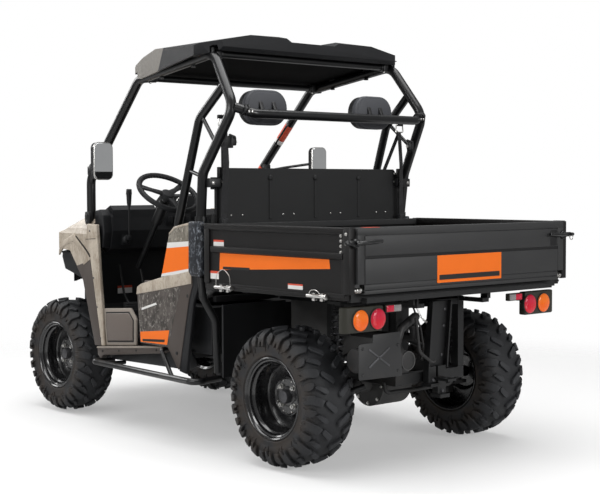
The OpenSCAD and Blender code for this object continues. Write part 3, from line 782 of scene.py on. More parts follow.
spring_steel = spring_finish()
rear_axle_x = wheel_centres["rear", 1].x
front_axle_x = wheel_centres["front", 1].x
SPRINGS = {
    "rear": ((rear_axle_x - 0.100, 0.385, 0.748), (rear_axle_x - 0.100, 0.427, 0.318)),
    "front": ((front_axle_x - 0.032, 0.262, 0.694), (front_axle_x - 0.032, 0.350, 0.318)),
}
dampers = bmesh.new()
coils = bmesh.new()
for top, foot in SPRINGS.values():
    for side in (1, -1):
        start = Vector((top[0], top[1] * side, top[2]))
        end = Vector((foot[0], foot[1] * side, foot[2]))
        along = (end - start).normalized()
        rod(dampers, start, end, 0.012, 16)
        rod(dampers, start + along * 0.022, start + along * 0.030, 0.034, 28, 1.0, 0.002)
        rod(dampers, start + along * 0.030, start + along * 0.120, 0.024, 24, 1.0, 0.002)
        rod(dampers, start + along * 0.268, start + along * 0.276, 0.034, 28, 1.0, 0.002)
        rod(dampers, start + along * 0.276, end - along * 0.014, 0.021, 24, 0.9, 0.002)
        for eye in (start, end):
            rod(
                dampers, eye - Vector((0.018, 0, 0)), eye + Vector((0.018, 0, 0)), 0.016, 18, 1.0,
                0.002,
            )
        coil(coils, start + along * 0.034, start + along * 0.264, 0.028, 0.0052, 7.5)
damper_piece = piece("spring_dampers", dampers, frame_black, "chassis", 35)
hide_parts("shock_absorbers")
piece("spring_coils", coils, spring_steel, "chassis", 60)

BOOT_LENGTH = 0.056
boots = bmesh.new()
for axle, ends in ((rear_axle_x, (0.168, 0.393)), (front_axle_x, (0.168, 0.376))):
    for side in (1, -1):
        for start in ends:
            outline = []
            for fold in range(11):
                out = 0.0355 - 0.0016 * fold + (0.0035 if fold % 2 else -0.0035)
                share = fold / 10 if start == ends[0] else 1 - fold / 10
                reach = start + BOOT_LENGTH * share
                outline.append((side * reach, out))
            centred = bmesh.new()
            lathe(centred, [(outline[0][0], 0.010)] + outline + [(outline[-1][0], 0.010)], 28)
            bmesh.ops.translate(centred, verts=centred.verts, vec=(axle, 0, TYRE_RADIUS))
            absorb(boots, centred)
piece("axle_boots", boots, boot_rubber, "chassis", 25)

hoses = bmesh.new()
for side in (1, -1):
    pipe(hoses, [
        (rear_axle_x + 0.05, side * 0.215, 0.560), (rear_axle_x + 0.03, side * 0.300, 0.500),
        (rear_axle_x + 0.02, side * 0.380, 0.480), (rear_axle_x + 0.03, side * 0.440, 0.430),
    ], 0.005, 0.05)
    pipe(hoses, [
        (front_axle_x + 0.06, side * 0.235, 0.640), (front_axle_x + 0.07, side * 0.300, 0.600),
        (front_axle_x + 0.08, side * 0.340, 0.540),
    ], 0.005, 0.05)
piece("brake_hoses", hoses, boot_rubber, "chassis", 60)

castings = bmesh.new()
for axle in (rear_axle_x, front_axle_x):
    for side in (1, -1):
        for turn in range(8):
            angle = math.tau * turn / 8
            out = 0.092 if axle < 0 else 0.067
            spot = Vector(
                (axle + out * math.cos(angle), side * 0.100, TYRE_RADIUS + out * math.sin(angle))
            )
            bolt(castings, spot, (0, side, 0), 0.012)
piece("gear_case_bolts", castings, plated, "chassis", 30)

# ---- Cargo bed ------------------------------------------------------------------------
# Steel box of folded sheet: two sides with a rolled top rail and a pressed ridge, a front
# panel, a ribbed floor and corner posts, all in charcoal powder coat.

bed_grey = satin_black_finish(
    "bed_powder_coat", (0.0055, 0.0050, 0.0050), (0.0080, 0.0074, 0.0074), 0.42, 0.0, 0.25
)
gate_grey = satin_black_finish(
    "gate_powder_coat", (0.026, 0.0262, 0.0268), (0.034, 0.0342, 0.0350), 0.46, 0.0, 0.3
)
bed_inner = satin_black_finish(
    "bed_inner_coat", (0.0090, 0.0092, 0.0096), (0.016, 0.0164, 0.017), 0.50, 0.0, 0.3
)

side_low, side_high = (Vector(corner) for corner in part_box("bed_sides"))
bed_half = side_high.y
bed_rear = side_low.x
bed_front = side_high.x
bed_top = side_high.z
floor_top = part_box("bed_floor")[1][2]
POST = 0.038

for side, hand in ((1, "left"), (-1, "right")):
    mesh = bmesh.new()
    wall = bed_half - 0.013
    rear, front = bed_rear + POST, bed_front
    # sheet wall, top rail with its rolled lip, and the ridge pressed along the middle
    brick(mesh, (rear - 0.002, wall - 0.012, floor_top), (front, wall, bed_top - 0.020), 0.001, 1)
    plate(mesh, [
        (bed_half - 0.042, bed_top - 0.030), (bed_half - 0.042, bed_top),
        (bed_half - 0.003, bed_top), (bed_half - 0.003, bed_top - 0.024), (wall, bed_top - 0.034),
        (wall - 0.010, bed_top - 0.034),
    ], "X", rear, front, 0.0025, 2)
    pipe(
        mesh,
        [(rear, bed_half - 0.0075, bed_top - 0.006), (front, bed_half - 0.0075, bed_top - 0.006)],
        0.0070,
    )
    plate(mesh, [
        (wall - 0.002, 1.022), (bed_half - 0.001, 1.0165), (bed_half - 0.001, 0.9935),
        (wall - 0.002, 0.986),
    ], "X", rear + 0.006, front - 0.052, 0.002, 2)
    # end frames, lower hem and the folded corner post
    brick(
        mesh, (front - 0.040, wall - 0.014, floor_top), (front, bed_half - 0.003, bed_top - 0.026),
        0.003,
    )
    brick(
        mesh, (rear - 0.002, wall - 0.004, floor_top + 0.004),
        (rear + 0.016, bed_half - 0.006, bed_top - 0.026), 0.0025,
    )
    brick(
        mesh, (rear + 0.002, bed_half - 0.042, floor_top - 0.030),
        (front, bed_half - 0.010, floor_top + 0.002), 0.003,
    )
    brick(
        mesh, (rear + 0.002, bed_half - 0.012, floor_top - 0.020),
        (front - 0.02, bed_half - 0.004, floor_top - 0.010), 0.002,
    )
    plate(mesh, [
        (bed_rear + 0.001, bed_half - 0.036), (bed_rear + POST, bed_half - 0.036),
        (bed_rear + POST, bed_half), (bed_rear, bed_half),
    ], "Z", floor_top, bed_top, 0.003, 2)
    brick(
        mesh, (bed_rear + 0.006, bed_half - 0.034, bed_top),
        (bed_rear + POST + 0.02, bed_half - 0.004, bed_top + 0.0025), 0.001,
    )
    # stiffening seams on the inside
    for place in (0.25, 0.5, 0.75):
        spot = rear + (front - rear) * place
        brick(
            mesh, (spot - 0.015, wall - 0.020, floor_top),
            (spot + 0.015, wall - 0.010, bed_top - 0.03), 0.004,
        )
    if side < 0:
        flip(mesh)
    panel = piece(f"bed_side_{hand}", mesh, bed_grey, "bed", 30)
    if side > 0:
        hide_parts("bed_sides")

front_low, front_high = (Vector(corner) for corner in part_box("bed_front_panel"))
mesh = bmesh.new()
brick(
    mesh, (front_high.x - 0.022, front_low.y, 0.806),
    (front_high.x - 0.010, front_high.y, front_high.z - 0.010), 0.001,
)
plate(mesh, [
    (front_high.x - 0.034, front_high.z - 0.030), (front_high.x - 0.034, front_high.z - 0.004),
    (front_high.x - 0.030, front_high.z), (front_high.x - 0.004, front_high.z),
    (front_high.x, front_high.z - 0.004), (front_high.x, front_high.z - 0.030),
    (front_high.x - 0.010, front_high.z - 0.036), (front_high.x - 0.022, front_high.z - 0.036),
], "Y", front_low.y, front_high.y, 0.001, 1)
for height in (0.92, 1.00):
    plate(mesh, [
        (front_high.x - 0.021, height - 0.016), (front_high.x - 0.030, height - 0.010),
        (front_high.x - 0.030, height + 0.010), (front_high.x - 0.021, height + 0.016),
    ], "Y", front_low.y + 0.01, front_high.y - 0.01, 0.002)
panel = piece("bed_front_wall", mesh, bed_inner, "bed", 30)
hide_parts("bed_front_panel")

mesh = bmesh.new()
ribs = 13
for number in range(ribs):
    middle = -0.66 + 1.32 * number / (ribs - 1)
    plate(mesh, [
        (middle - 0.030, floor_top - 0.001), (middle - 0.020, floor_top + 0.005),
        (middle + 0.020, floor_top + 0.005), (middle + 0.030, floor_top - 0.001),
    ], "X", bed_rear + 0.07, bed_front - 0.05, 0.0015)
piece("bed_floor_ribs", mesh, bed_inner, "bed", 30)
keep_solid("bed_floor", bed_inner, 0.001)

# bolts at the rear of each side, and the lynch pins that hold it, each with a wire loop
mesh = bmesh.new()
loops = bmesh.new()
for side in (1, -1):
    for height in (1.092, 1.070, 1.048, 1.022):
        spot = (bed_rear + 0.058, side * (bed_half - 0.008), height)
        bolt(mesh, spot, (0, side, 0), 0.011)
    for height in (1.10, 1.06):
        bolt(mesh, (bed_rear + 0.018, side * bed_half, height), (0, side, 0), 0.012)
    for start in (bed_front - 0.103, bed_front - 0.762):
        level = floor_top - 0.016
        reach = side * (bed_half + 0.010)
        rod(mesh, (start, reach, level), (start - 0.125, reach, level), 0.0085, 14, 1.0, 0.002)
        rod(
            mesh, (start - 0.128, reach, level), (start - 0.118, reach, level), 0.0135, 14, 1.0,
            0.002,
        )
        brick(mesh, (start - 0.040, side * (bed_half - 0.006) - 0.008, level - 0.022),
              (start - 0.022, side * (bed_half - 0.006) + 0.008, level + 0.012), 0.002)
        brick(mesh, (start - 0.092, side * (bed_half - 0.006) - 0.008, level - 0.022),
              (start - 0.074, side * (bed_half - 0.006) + 0.008, level + 0.012), 0.002)
        if start > -0.8:
            pipe(loops, [
                (start - 0.118, reach, level + 0.002),
                (start - 0.118, reach + side * 0.004, level + 0.060),
                (start - 0.070, reach + side * 0.006, level + 0.092),
                (start - 0.015, reach + side * 0.004, level + 0.062),
                (start - 0.008, reach, level + 0.002),
            ], 0.0017, 0.035, 8)
        else:
            pipe(loops, [
                (start - 0.100, reach, level), (start - 0.070, reach + side * 0.010, level + 0.030),
                (start - 0.030, reach + side * 0.008, level + 0.026), (start - 0.010, reach, level),
            ], 0.0017, 0.03, 8)
piece("bed_bolts_and_pins", mesh, plated, "bed", 30)
piece("pin_wire_loops", loops, plated, "bed", 60)

# ---- Tailgate -------------------------------------------------------------------------
# Folded steel gate with wide end borders and a long groove, on two hinge pins. A lever
# with a cast boss latches each end; a ring hangs by the right one.

gate_half = bed_half - 0.040
gate_face = bed_rear - 0.012
groove = 0.9985
gate_pin = (bed_rear + 0.010, 0.858)
mesh = bmesh.new()
thick = 0.034
inner = gate_half - 0.042
# middle panels above and below the groove, end borders, top fold and doubled bottom strip
brick(mesh, (gate_face + 0.004, -inner, 0.846), (gate_face + thick, inner, bed_top - 0.030), 0.001)
for low_z, high_z in ((0.884, groove - 0.0065), (groove + 0.0065, bed_top - 0.036)):
    brick(
        mesh, (gate_face - 0.0005, -inner + 0.002, low_z),
        (gate_face + 0.012, inner - 0.002, high_z), 0.002,
    )
brick(
    mesh, (gate_face, -gate_half, bed_top - 0.034), (gate_face + thick, gate_half, bed_top), 0.0035
)
brick(mesh, (gate_face + 0.002, -inner, 0.858), (gate_face + 0.014, inner, 0.881), 0.002)
brick(mesh, (gate_face - 0.001, -inner, 0.840), (gate_face + thick, inner, 0.856), 0.0025)
for side in (1, -1):
    low_y, high_y = sorted((side * inner, side * gate_half))
    brick(mesh, (gate_face, low_y, 0.884), (gate_face + thick, high_y, bed_top - 0.030), 0.003)
    slot = sorted((side * (inner - 0.005), side * (inner - 0.045)))
    brick(mesh, (gate_face + 0.004, slot[0], 0.852), (gate_face + thick, slot[1], 0.884), 0.002)
gate = piece("tailgate_panel", mesh, gate_grey, "tailgate", 30)
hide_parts("tailgate")

mesh = bmesh.new()
for side in (1, -1):
    pin_y = sorted((side * (gate_half - 0.066), side * (bed_half - 0.012)))
    spots = [(pin_y[0], pin_y[1], 0.0078)]
    for step in (0.010, 0.030, 0.048):
        spot = side * (gate_half - step)
        spots.append((spot - 0.004, spot + 0.004, 0.0125))
    for low_y, high_y, radius in spots:
        pin_x, pin_z = gate_pin
        rod(mesh, (pin_x, low_y, pin_z), (pin_x, high_y, pin_z), radius, 18, 1.0, 0.001)
piece("tailgate_hinge_pins", mesh, plated, "tailgate", 30)

mesh = bmesh.new()
rings = bmesh.new()
for side, height, hub, tip in ((1, 1.062, 0.724, 0.581), (-1, 1.060, -0.700, -0.579)):
    boss = Vector((gate_face - 0.001, hub, height))
    rod(mesh, boss + Vector((0.004, 0, 0)), boss - Vector((0.010, 0, 0)), 0.021, 24, 0.92, 0.002)
    rod(mesh, boss - Vector((0.010, 0, 0)), boss - Vector((0.022, 0, 0)), 0.013, 20, 0.9, 0.002)
    rod(
        mesh, boss - Vector((0.017, side * -0.012, 0)), (gate_face - 0.019, tip, height + 0.006),
        0.0088, 16, 0.92, 0.003,
    )
    keeper = Vector((gate_face - 0.008, hub + side * 0.032, height + 0.002))
    brick(
        mesh, keeper - Vector((0.008, 0.020, 0.011)), keeper + Vector((0.006, 0.020, 0.011)), 0.003
    )
    rod(
        mesh, keeper + Vector((-0.006, side * 0.016, 0)),
        keeper + Vector((-0.006, side * 0.040, 0)), 0.0095, 16, 0.85, 0.003,
    )
ring_centre = Vector((gate_face - 0.014, -0.756, 1.048))
pipe(rings, circle(ring_centre, Vector((0, 0.013, 0)), Vector((0, 0, 0.013)), 16), 0.0022, 0.002, 8)
piece("latch_levers", mesh, tube_black, "tailgate", 30)
piece("latch_ring", rings, plated, "tailgate", 60)

# dark slot that the right lever's latch plate slides in, painted as shade, and a strip of painted shade
# along the groove
mesh = bmesh.new()
brick(
    mesh, (gate_face - 0.0015, -0.657, groove + 0.009),
    (gate_face + 0.006, -0.605, bed_top - 0.040), 0.002,
)
# the dark strip in the groove is painted shade
brick(
    mesh, (gate_face + 0.0030, -inner, groove - 0.0085),
    (gate_face + 0.010, inner, groove + 0.0085), 0,
)
shadow_black = satin_black_finish(
    "shadowed_steel", (0.0035, 0.0035, 0.004), (0.007, 0.007, 0.0075), 0.6
)
piece("latch_slot_and_groove_shade", mesh, shadow_black, "tailgate", 30)

# ---- Roll cage ------------------------------------------------------------------------
# Bent round tube in gloss black: a hoop over each side, centre posts, small braces, roof
# bars with clamps and a shoulder bar, with belt anchors and a grab handle fixed to it.

TUBE = 0.025
A_TOP = (0.256, 0.612, 1.869)
HOOP_TOP = (-0.401, 0.618, 1.961)

mesh = bmesh.new()
pipe(mesh, [
    (0.755, 0.600, 1.082), (0.755, 0.600, 1.354), A_TOP, HOOP_TOP, (-0.604, 0.658, 1.685),
    (-0.420, 0.705, 1.368), (-0.395, 0.699, 1.144), (-0.395, 0.699, 0.868),
], TUBE, 0.095, 20)
mirror_copy(mesh)
for x, y, z in ((0.205, 0.600, 1.876), (-0.380, 0.610, 1.958)):
    pipe(mesh, [(x, -y, z), (x, y, z)], 0.017, 0.0, 18)
hoop = piece("cage_side_hoops", mesh, tube_black, "chassis", 40)
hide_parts("front_cage")

mesh = bmesh.new()
pipe(mesh, [
    (-0.156, 0.655, 0.480), (-0.156, 0.662, 1.117), (-0.330, 0.655, 1.640), (-0.512, 0.640, 1.800),
], 0.022, 0.090, 20)
for start, end in (
    ((-0.245, 0.659, 1.385), (-0.420, 0.704, 1.352)),
    ((-0.350, 0.654, 1.650), (-0.500, 0.684, 1.510)),
    ((-0.395, 0.678, 0.900), (-0.156, 0.662, 0.900)),
):
    pipe(mesh, [start, end], 0.010, 0.0, 14)
pipe(mesh, [(-0.156, 0.656, 0.510), (-0.156, 0.603, 0.510)], 0.014, 0.0, 14)
# sleeve over the foot of the hoop, and its collar
pipe(mesh, [(-0.395, 0.699, 0.866), (-0.395, 0.699, 1.150)], 0.0285, 0.0, 24)
pipe(mesh, [(-0.395, 0.699, 1.138), (-0.395, 0.699, 1.158)], 0.0305, 0.0, 24)
pipe(mesh, [(-0.156, 0.661, 1.012), (-0.156, 0.661, 1.030)], 0.0255, 0.0, 24)
mirror_copy(mesh)
pipe(mesh, [
    (-0.599, 0.655, 1.686), (-0.640, 0.560, 1.655), (-0.640, -0.560, 1.655),
    (-0.599, -0.655, 1.686),
], 0.023, 0.070, 20)
posts = piece("cage_posts", mesh, tube_black, "chassis", 40)
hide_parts("rear_cage")

# clamps, flanges and anchors
mesh = bmesh.new()
shiny = bmesh.new()
for x, y, z in ((0.205, 0.600, 1.876), (-0.380, 0.610, 1.958)):
    brick(mesh, (x - 0.021, y - 0.045, z - 0.022), (x + 0.021, y - 0.010, z + 0.020), 0.004)
    rod(mesh, (x, y - 0.060, z), (x, y - 0.044, z), 0.021, 20, 1.0, 0.002)
    bolt(shiny, (x, y - 0.026, z - 0.022), (0, 0, -1), 0.011)
    brick(mesh, (x - 0.030, y + 0.006, z - 0.026), (x + 0.030, y + 0.026, z + 0.030), 0.005)
for share in (0.30, 0.72):
    spot = Vector(A_TOP).lerp(Vector(HOOP_TOP), share)
    brick(mesh, spot + Vector((-0.022, -0.018, 0.010)), spot + Vector((0.022, 0.022, 0.042)), 0.004)
    rod(
        mesh, spot + Vector((0, -0.010, -0.034)), spot + Vector((0, -0.010, -0.020)), 0.013, 18,
        0.8, 0.002,
    )
for turn in (-1, 1):
    spot = Vector((-0.634, 0.596, 1.667))
    foot = spot + Vector((0.006, turn * 0.010 + 0.006, 0.002))
    rod(mesh, foot, foot + Vector((0.002, 0.006, 0.002)), 0.0285, 22, 1.0, 0.001)
    bolt(shiny, spot + Vector((-0.024, turn * 0.010, -0.004)), (-1, 0, 0), 0.009, 0.004)
# belt anchor on the outer hoop with its bracket, tongue and cover
anchor = Vector((-0.515, 0.655, 1.520))
brick(
    mesh, anchor + Vector((-0.046, -0.030, -0.030)), anchor + Vector((0.000, -0.022, 0.030)), 0.003
)
brick(
    mesh, anchor + Vector((-0.044, -0.052, -0.018)), anchor + Vector((-0.018, -0.020, 0.024)),
    0.005,
)
rod(shiny, anchor + Vector((-0.030, -0.060, 0.0)), anchor + Vector((-0.030, -0.050, 0.0)), 0.008, 6)
rod(
    mesh, anchor + Vector((-0.050, -0.036, 0.022)), anchor + Vector((-0.008, -0.036, 0.034)), 0.007,
    12, 1.0, 0.002,
)
# bracket that joins the head sheet to the hoop
brick(mesh, (-0.470, 0.600, 1.300), (-0.440, 0.700, 1.345), 0.004)
brick(mesh, (-0.462, 0.610, 1.345), (-0.446, 0.640, 1.400), 0.004)
for y, z in ((0.618, 1.372), (0.620, 1.328), (0.680, 1.322)):
    bolt(shiny, (-0.447 if z > 1.35 else -0.470, y, z), (-1, 0, 0), 0.013)
mirror_copy(mesh)
mirror_copy(shiny)
# handle on the right front post
pipe(mesh, [
    (0.435, -0.606, 1.686), (0.415, -0.560, 1.668), (0.530, -0.555, 1.548), (0.545, -0.604, 1.570),
], 0.0065, 0.022, 12)
brick(mesh, (0.640, -0.622, 1.395), (0.672, -0.578, 1.440), 0.006)
piece("cage_brackets", mesh, frame_black, "chassis", 30)
piece("cage_fasteners", shiny, plated, "chassis", 30)

# ---- Seat belts -----------------------------------------------------------------------
# Woven webbing from a steel guide ring on each hoop, through a loop, down behind the seat
# to its reel. The weave is fine ribbing across the strap.


def webbing_finish():
    place = new_finish("belt_webbing")
    ribs = place.node("TexWave", {"bands_direction": "Z"}, {"Vector": place, "Scale": 220.0})
    patch = place.cloud(25.0, 3.0)
    return done(
        place, mixed(patch, (0.008, 0.008, 0.009), (0.018, 0.018, 0.020)), 0.75, ribs, 0.0006
    )


webbing = webbing_finish()


def ribbon(mesh, points, width, thick, across):
    """A flat strap along a route, its width along the direction across."""
    path = pipe_path(points, 0.03, 6)
    half = Vector(across).normalized() * width / 2
    rings = []
    for number, point in enumerate(path):
        before, after = path[max(0, number - 1)], path[min(len(path) - 1, number + 1)]
        up = (after - before).normalized().cross(half).normalized() * thick / 2
        corners = (half + up, -half + up, -half - up, half - up)
        rings.append([mesh.verts.new(point + corner) for corner in corners])
    skin(mesh, rings)


mesh = bmesh.new()
ribbon(mesh, [
    (-0.470, 0.612, 1.600), (-0.486, 0.612, 1.420), (-0.478, 0.620, 1.150),
], 0.034, 0.0016, (0.2, 1, 0))
ribbon(mesh, [
    (-0.470, 0.612, 1.600), (-0.405, 0.560, 1.390), (-0.390, 0.552, 1.100), (-0.300, 0.548, 0.830),
], 0.034, 0.0016, (0.2, 1, 0))
mirror_copy(mesh)
piece("belt_straps", mesh, webbing, "chassis", 40)
mesh = bmesh.new()
ring = Vector((-0.468, 0.616, 1.612))
pipe(mesh, [
    ring + Vector((0, -0.028, -0.012)), ring + Vector((0, 0.028, -0.012)),
    ring + Vector((0, 0.024, 0.026)),
    ring + Vector((0, 0.000, 0.044)), ring + Vector((0, -0.024, 0.026)),
    ring + Vector((0, -0.028, -0.012)),
], 0.0036, 0.008, 10)
mirror_copy(mesh)
piece("belt_guide_rings", mesh, plated, "chassis", 40)
mesh = bmesh.new()
brick(mesh, (-0.494, 0.598, 1.096), (-0.456, 0.640, 1.150), 0.008, 3)
brick(mesh, (-0.473, 0.606, 1.634), (-0.455, 0.644, 1.654), 0.004, 2)
mirror_copy(mesh)
piece("belt_reels", mesh, black_plastic, "chassis", 30)

# ---- Roof -----------------------------------------------------------------------------
# Moulded shell with faceted edges. Its front side facets carry a painted pale highlight; the rest is dark
# grained plastic.


def camo_finish(name, dark, middle, light, twig, amount):
    """Printed woodland film: soft blotches, upright stems and a net of thin twigs."""
    place = new_finish(name)
    blotch = place.scaled((14.0, 14.0, 8.0)).cloud(1.0, 7.0, 0.72, 0.5)
    fine = place.scaled((85.0, 85.0, 46.0)).cloud(1.0, 6.0, 0.72, 0.4)
    bark = place.scaled((140.0, 140.0, 14.0), (0.10, 0.16, 0.0)).cloud(1.0, 4.0, 0.60, 0.4)
    bent = place.node("VectorMath", {"operation": "MULTIPLY_ADD"}, {
        0: place.node("TexNoise", {}, {"Vector": place, "Scale": 11.0, "Detail": 3.0}, "Color"),
        1: (0.045, 0.045, 0.045), 2: place,
    })
    stems = bent.scaled((22.0, 22.0, 9.0), (0.45, 0.60, 0.0)).cells(1.0, "DISTANCE_TO_EDGE")
    twigs = bent.scaled((55.0, 55.0, 30.0), (-0.65, 0.75, 0.2)).cells(1.0, "DISTANCE_TO_EDGE")
    colour = mixed(blotch.step(0.38, 0.60), dark, middle)
    colour = mixed(bark.step(0.50, 0.66) * 0.35, colour, light)
    colour = mixed(fine.step(0.54, 0.66) * 0.60, colour, dark)
    colour = mixed((1 - stems.step(0.02, 0.10)) * fine.step(0.48, 0.60) * amount, colour, twig)
    colour = mixed(
        (1 - twigs.step(0.02, 0.10)) * fine.step(0.50, 0.60) * amount * 0.8, colour, twig
    )
    return done(
        place, colour, fine * 0.12 + 0.36, fine, 0.00005, Specular_IOR_Level=0.3, Coat_Weight=0.15,
    )


PALE = ((0.30, 0.25, 0.195), (0.44, 0.385, 0.315), (0.56, 0.505, 0.43), (0.26, 0.21, 0.165))
camo_pale = camo_finish("camo_pale", *PALE, 0.38)
camo_deep = camo_finish(
    "camo_deep", (0.030, 0.025, 0.022), (0.085, 0.074, 0.066), (0.17, 0.153, 0.137),
    (0.36, 0.335, 0.305), 0.55,
)
camo_grey = camo_finish(
    "camo_grey", (0.095, 0.084, 0.066), (0.20, 0.18, 0.147), (0.32, 0.295, 0.25),
    (0.50, 0.465, 0.40), 0.70,
)
camo_night = camo_finish(
    "camo_night", (0.005, 0.0062, 0.009), (0.008, 0.0095, 0.014), (0.030, 0.035, 0.046),
    (0.20, 0.22, 0.25), 0.9,
)


def roof_finish():
    """Dark shell whose outer facets, ahead of the middle, carry a painted pale highlight."""
    place = new_finish("roof_shell")
    along = place.part("X")
    out = place.part("Y").maths("ABSOLUTE")
    side = (out + along * 0.085 - 0.655).step(-0.0005, 0.0005)
    nose = (along * 0.848 + out * 0.530 - 0.5400).step(-0.0005, 0.0005)
    ahead_of_crease = (along * 0.9 + place.part("Z") * 0.44 - 0.8350).step(0.0, 0.002)
    # painted highlight: the outer facets ahead of the crease are painted pale tan
    pale = side.maths("MAXIMUM", nose) * ahead_of_crease
    patch = place.cloud(6.0, 5.0)
    speck = place.cloud(60.0, 4.0)
    dark = mixed(patch, (0.0075, 0.0078, 0.0088), (0.013, 0.0135, 0.0150))
    # tan colour of the painted highlight
    light = mixed(speck, (0.24, 0.22, 0.19), (0.40, 0.375, 0.335))
    return done(
        place, mixed(pale, dark, light), patch * 0.16 + 0.40, place.cells(620.0), 0.00025,
        Specular_IOR_Level=0.25,
    )


keep_solid("roof", roof_finish(), 0.006, 3, 12)
# near-black sheet just under the roof: painted shade on the shell's underside
underside_shade_black = satin_black_finish(
    "roof_underside_shade", (0.0025, 0.0025, 0.0026), (0.004, 0.004, 0.0042), 0.8, 0.0, 0.05
)
mesh = bmesh.new()
plate(
    mesh, [(-0.425, 1.9960), (0.252, 1.9000), (0.252, 1.8970), (-0.425, 1.9930)], "Y", -0.640,
    0.640, 0.0,
)
piece("roof_underside_shade", mesh, underside_shade_black, "chassis", 30)

# ---- Head sheet, headrests and mirrors ------------------------------------------------
# Ribbed steel sheet behind the seats with plated rivets; shell headrests on brackets; and
# a rounded mirror on a bent arm at each side, with a bright rim round its glass.

keep_solid("headboard", bed_inner, 0.003)
mesh = bmesh.new()
for middle in (0.510, 0.170, -0.160, -0.500):
    for y in (middle - 0.036, middle + 0.036):
        rod(mesh, (-0.4385, y, 1.162), (-0.4435, y, 1.162), 0.0058, 12, 0.6, 0.001)
for y in (0.606, -0.606):
    for z in (1.372, 1.328):
        rod(mesh, (-0.4385, y, z), (-0.4455, y, z), 0.0085, 14, 0.7, 0.001)
piece("sheet_rivets", mesh, plated, "chassis", 30)
mesh = bmesh.new()
for y in (-0.328, -0.015, 0.293):
    rod(mesh, (-0.440, y, 1.348), (-0.4490, y, 1.348), 0.017, 20, 0.7, 0.003)
for y in (-0.640, 0.640):
    brick(mesh, (-0.446, y - 0.004, 1.064), (-0.430, y + 0.004, 1.300), 0.002)
piece("sheet_dimples", mesh, bed_inner, "chassis", 40)


def stadium(centre, half_straight, radius):
    """A long round outline, as (across, up) points."""
    steps = 16
    points = []
    for side in (1, -1):
        for step in range(steps + 1):
            turn = math.pi * step / steps - math.pi / 2
            points.append((
                centre[0] + side * (half_straight + radius * math.cos(turn)),
                centre[1] + side * radius * math.sin(turn),
            ))
    return points


HEADREST_Z = 1.696
shells = bmesh.new()
pads = bmesh.new()
hooks = bmesh.new()
for y in (0.375, -0.375):
    plate(shells, stadium((y, HEADREST_Z), 0.050, 0.088), "X", -0.513, -0.480, 0.010, 3)
    plate(shells, stadium((y, HEADREST_Z), 0.046, 0.074), "X", -0.516, -0.506, 0.004, 2)
    plate(pads, stadium((y, HEADREST_Z), 0.047, 0.085), "X", -0.490, -0.444, 0.020, 4)
    for offset in (-0.042, 0.042):
        plate(hooks, [
            (-0.508, 1.645), (-0.508, 1.725), (-0.518, 1.725), (-0.540, 1.675), (-0.622, 1.663),
            (-0.622, 1.645),
        ], "Y", y + offset - 0.011, y + offset + 0.011, 0.002)
        bolt(hooks, (-0.518, y + offset, 1.712), (-1, 0, 0), 0.010, 0.005)
vinyl_shell = grained_plastic_finish(
    "headrest_shell", (0.050, 0.052, 0.058), (0.070, 0.072, 0.080), 0.46
)


def vinyl_finish():
    """Seat vinyl: fine leather grain and a soft sheen that varies."""
    place = new_finish("seat_vinyl")
    patch = place.cloud(9.0, 4.0)
    creases = place.cells(260.0, "DISTANCE_TO_EDGE").step(0.0, 0.12)
    grain = creases * 0.7 + place.cloud(700.0) * 0.3
    colour = mixed(patch, (0.010, 0.0102, 0.011), (0.020, 0.0202, 0.0215))
    return done(place, colour, patch * 0.16 + 0.38, grain, 0.0004, Specular_IOR_Level=0.4)


seat_vinyl = vinyl_finish()
shell = piece("headrest_shells", shells, vinyl_shell, "chassis", 40)
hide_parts("headrests")
cushion = piece("headrest_pads", pads, seat_vinyl, "chassis", 50)
piece("headrest_brackets", hooks, frame_black, "chassis", 30)


def glass_mirror_finish():
    place = new_finish("mirror_glass")
    film = place.cloud(14.0, 3.0)
    return done(
        place, mixed(film, (0.80, 0.82, 0.83), (0.88, 0.89, 0.90)), film * 0.02 + 0.01,
        Metallic=1.0,
    )


def rounded(low, high, radius, steps=6):
    """A rectangle with round corners, as (across, up) points."""
    points = []
    corners = ((high[0], high[1]), (low[0], high[1]), (low[0], low[1]), (high[0], low[1]))
    for number, (x, y) in enumerate(corners):
        hub = (x + (-radius if x == high[0] else radius), y + (-radius if y == high[1] else radius))
        for step in range(steps + 1):
            turn = math.pi / 2 * (number + step / steps)
            points.append((hub[0] + radius * math.cos(turn), hub[1] + radius * math.sin(turn)))
    return points


backs = bmesh.new()
rims = bmesh.new()
glass = bmesh.new()
arms = bmesh.new()
plate(backs, rounded((0.713, 1.343), (0.829, 1.539), 0.030), "X", 0.364, 0.396, 0.008, 3)
outer = rounded((0.711, 1.341), (0.831, 1.541), 0.032)
plate(rims, outer, "X", 0.3605, 0.3690, 0.0025, 2)
plate(glass, rounded((0.7165, 1.3465), (0.8255, 1.5355), 0.027), "X", 0.3590, 0.3640, 0.0006, 1)
pipe(arms, [
    (0.398, 0.771, 1.441), (0.440, 0.771, 1.441), (0.600, 0.700, 1.420), (0.720, 0.622, 1.395),
], 0.008, 0.05, 14)
rod(arms, (0.392, 0.771, 1.441), (0.412, 0.771, 1.441), 0.020, 20, 0.7, 0.003)
brick(arms, (0.690, 0.604, 1.370), (0.742, 0.634, 1.420), 0.006)
for mesh in (backs, rims, glass, arms):
    mirror_copy(mesh)
back = piece("mirror_housings", backs, black_plastic, "chassis", 40)
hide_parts("mirrors")
piece("mirror_rims", rims, plated, "chassis", 40)
piece("mirror_glasses", glass, glass_mirror_finish(), "chassis", 40)
piece("mirror_arms", arms, tube_black, "chassis", 40)

# ---- Side body panels -----------------------------------------------------------------
# Moulded panels beside the seat: a taupe shell, a camouflage film in front of a plain tail
# with two fixings, a pale upper band, white and orange stripes, and a dark rear return.


def paint_finish(name, colour, roughness=0.40):
    """Plain moulded colour with faint mottling and very fine grain."""
    place = new_finish(name)
    patch = place.cloud(6.0, 4.0)
    darker = tuple(value * 0.86 for value in colour)
    return done(
        place, mixed(patch, darker, colour), patch * 0.14 + roughness, place.cells(700.0), 0.00015,
        Specular_IOR_Level=0.3,
    )


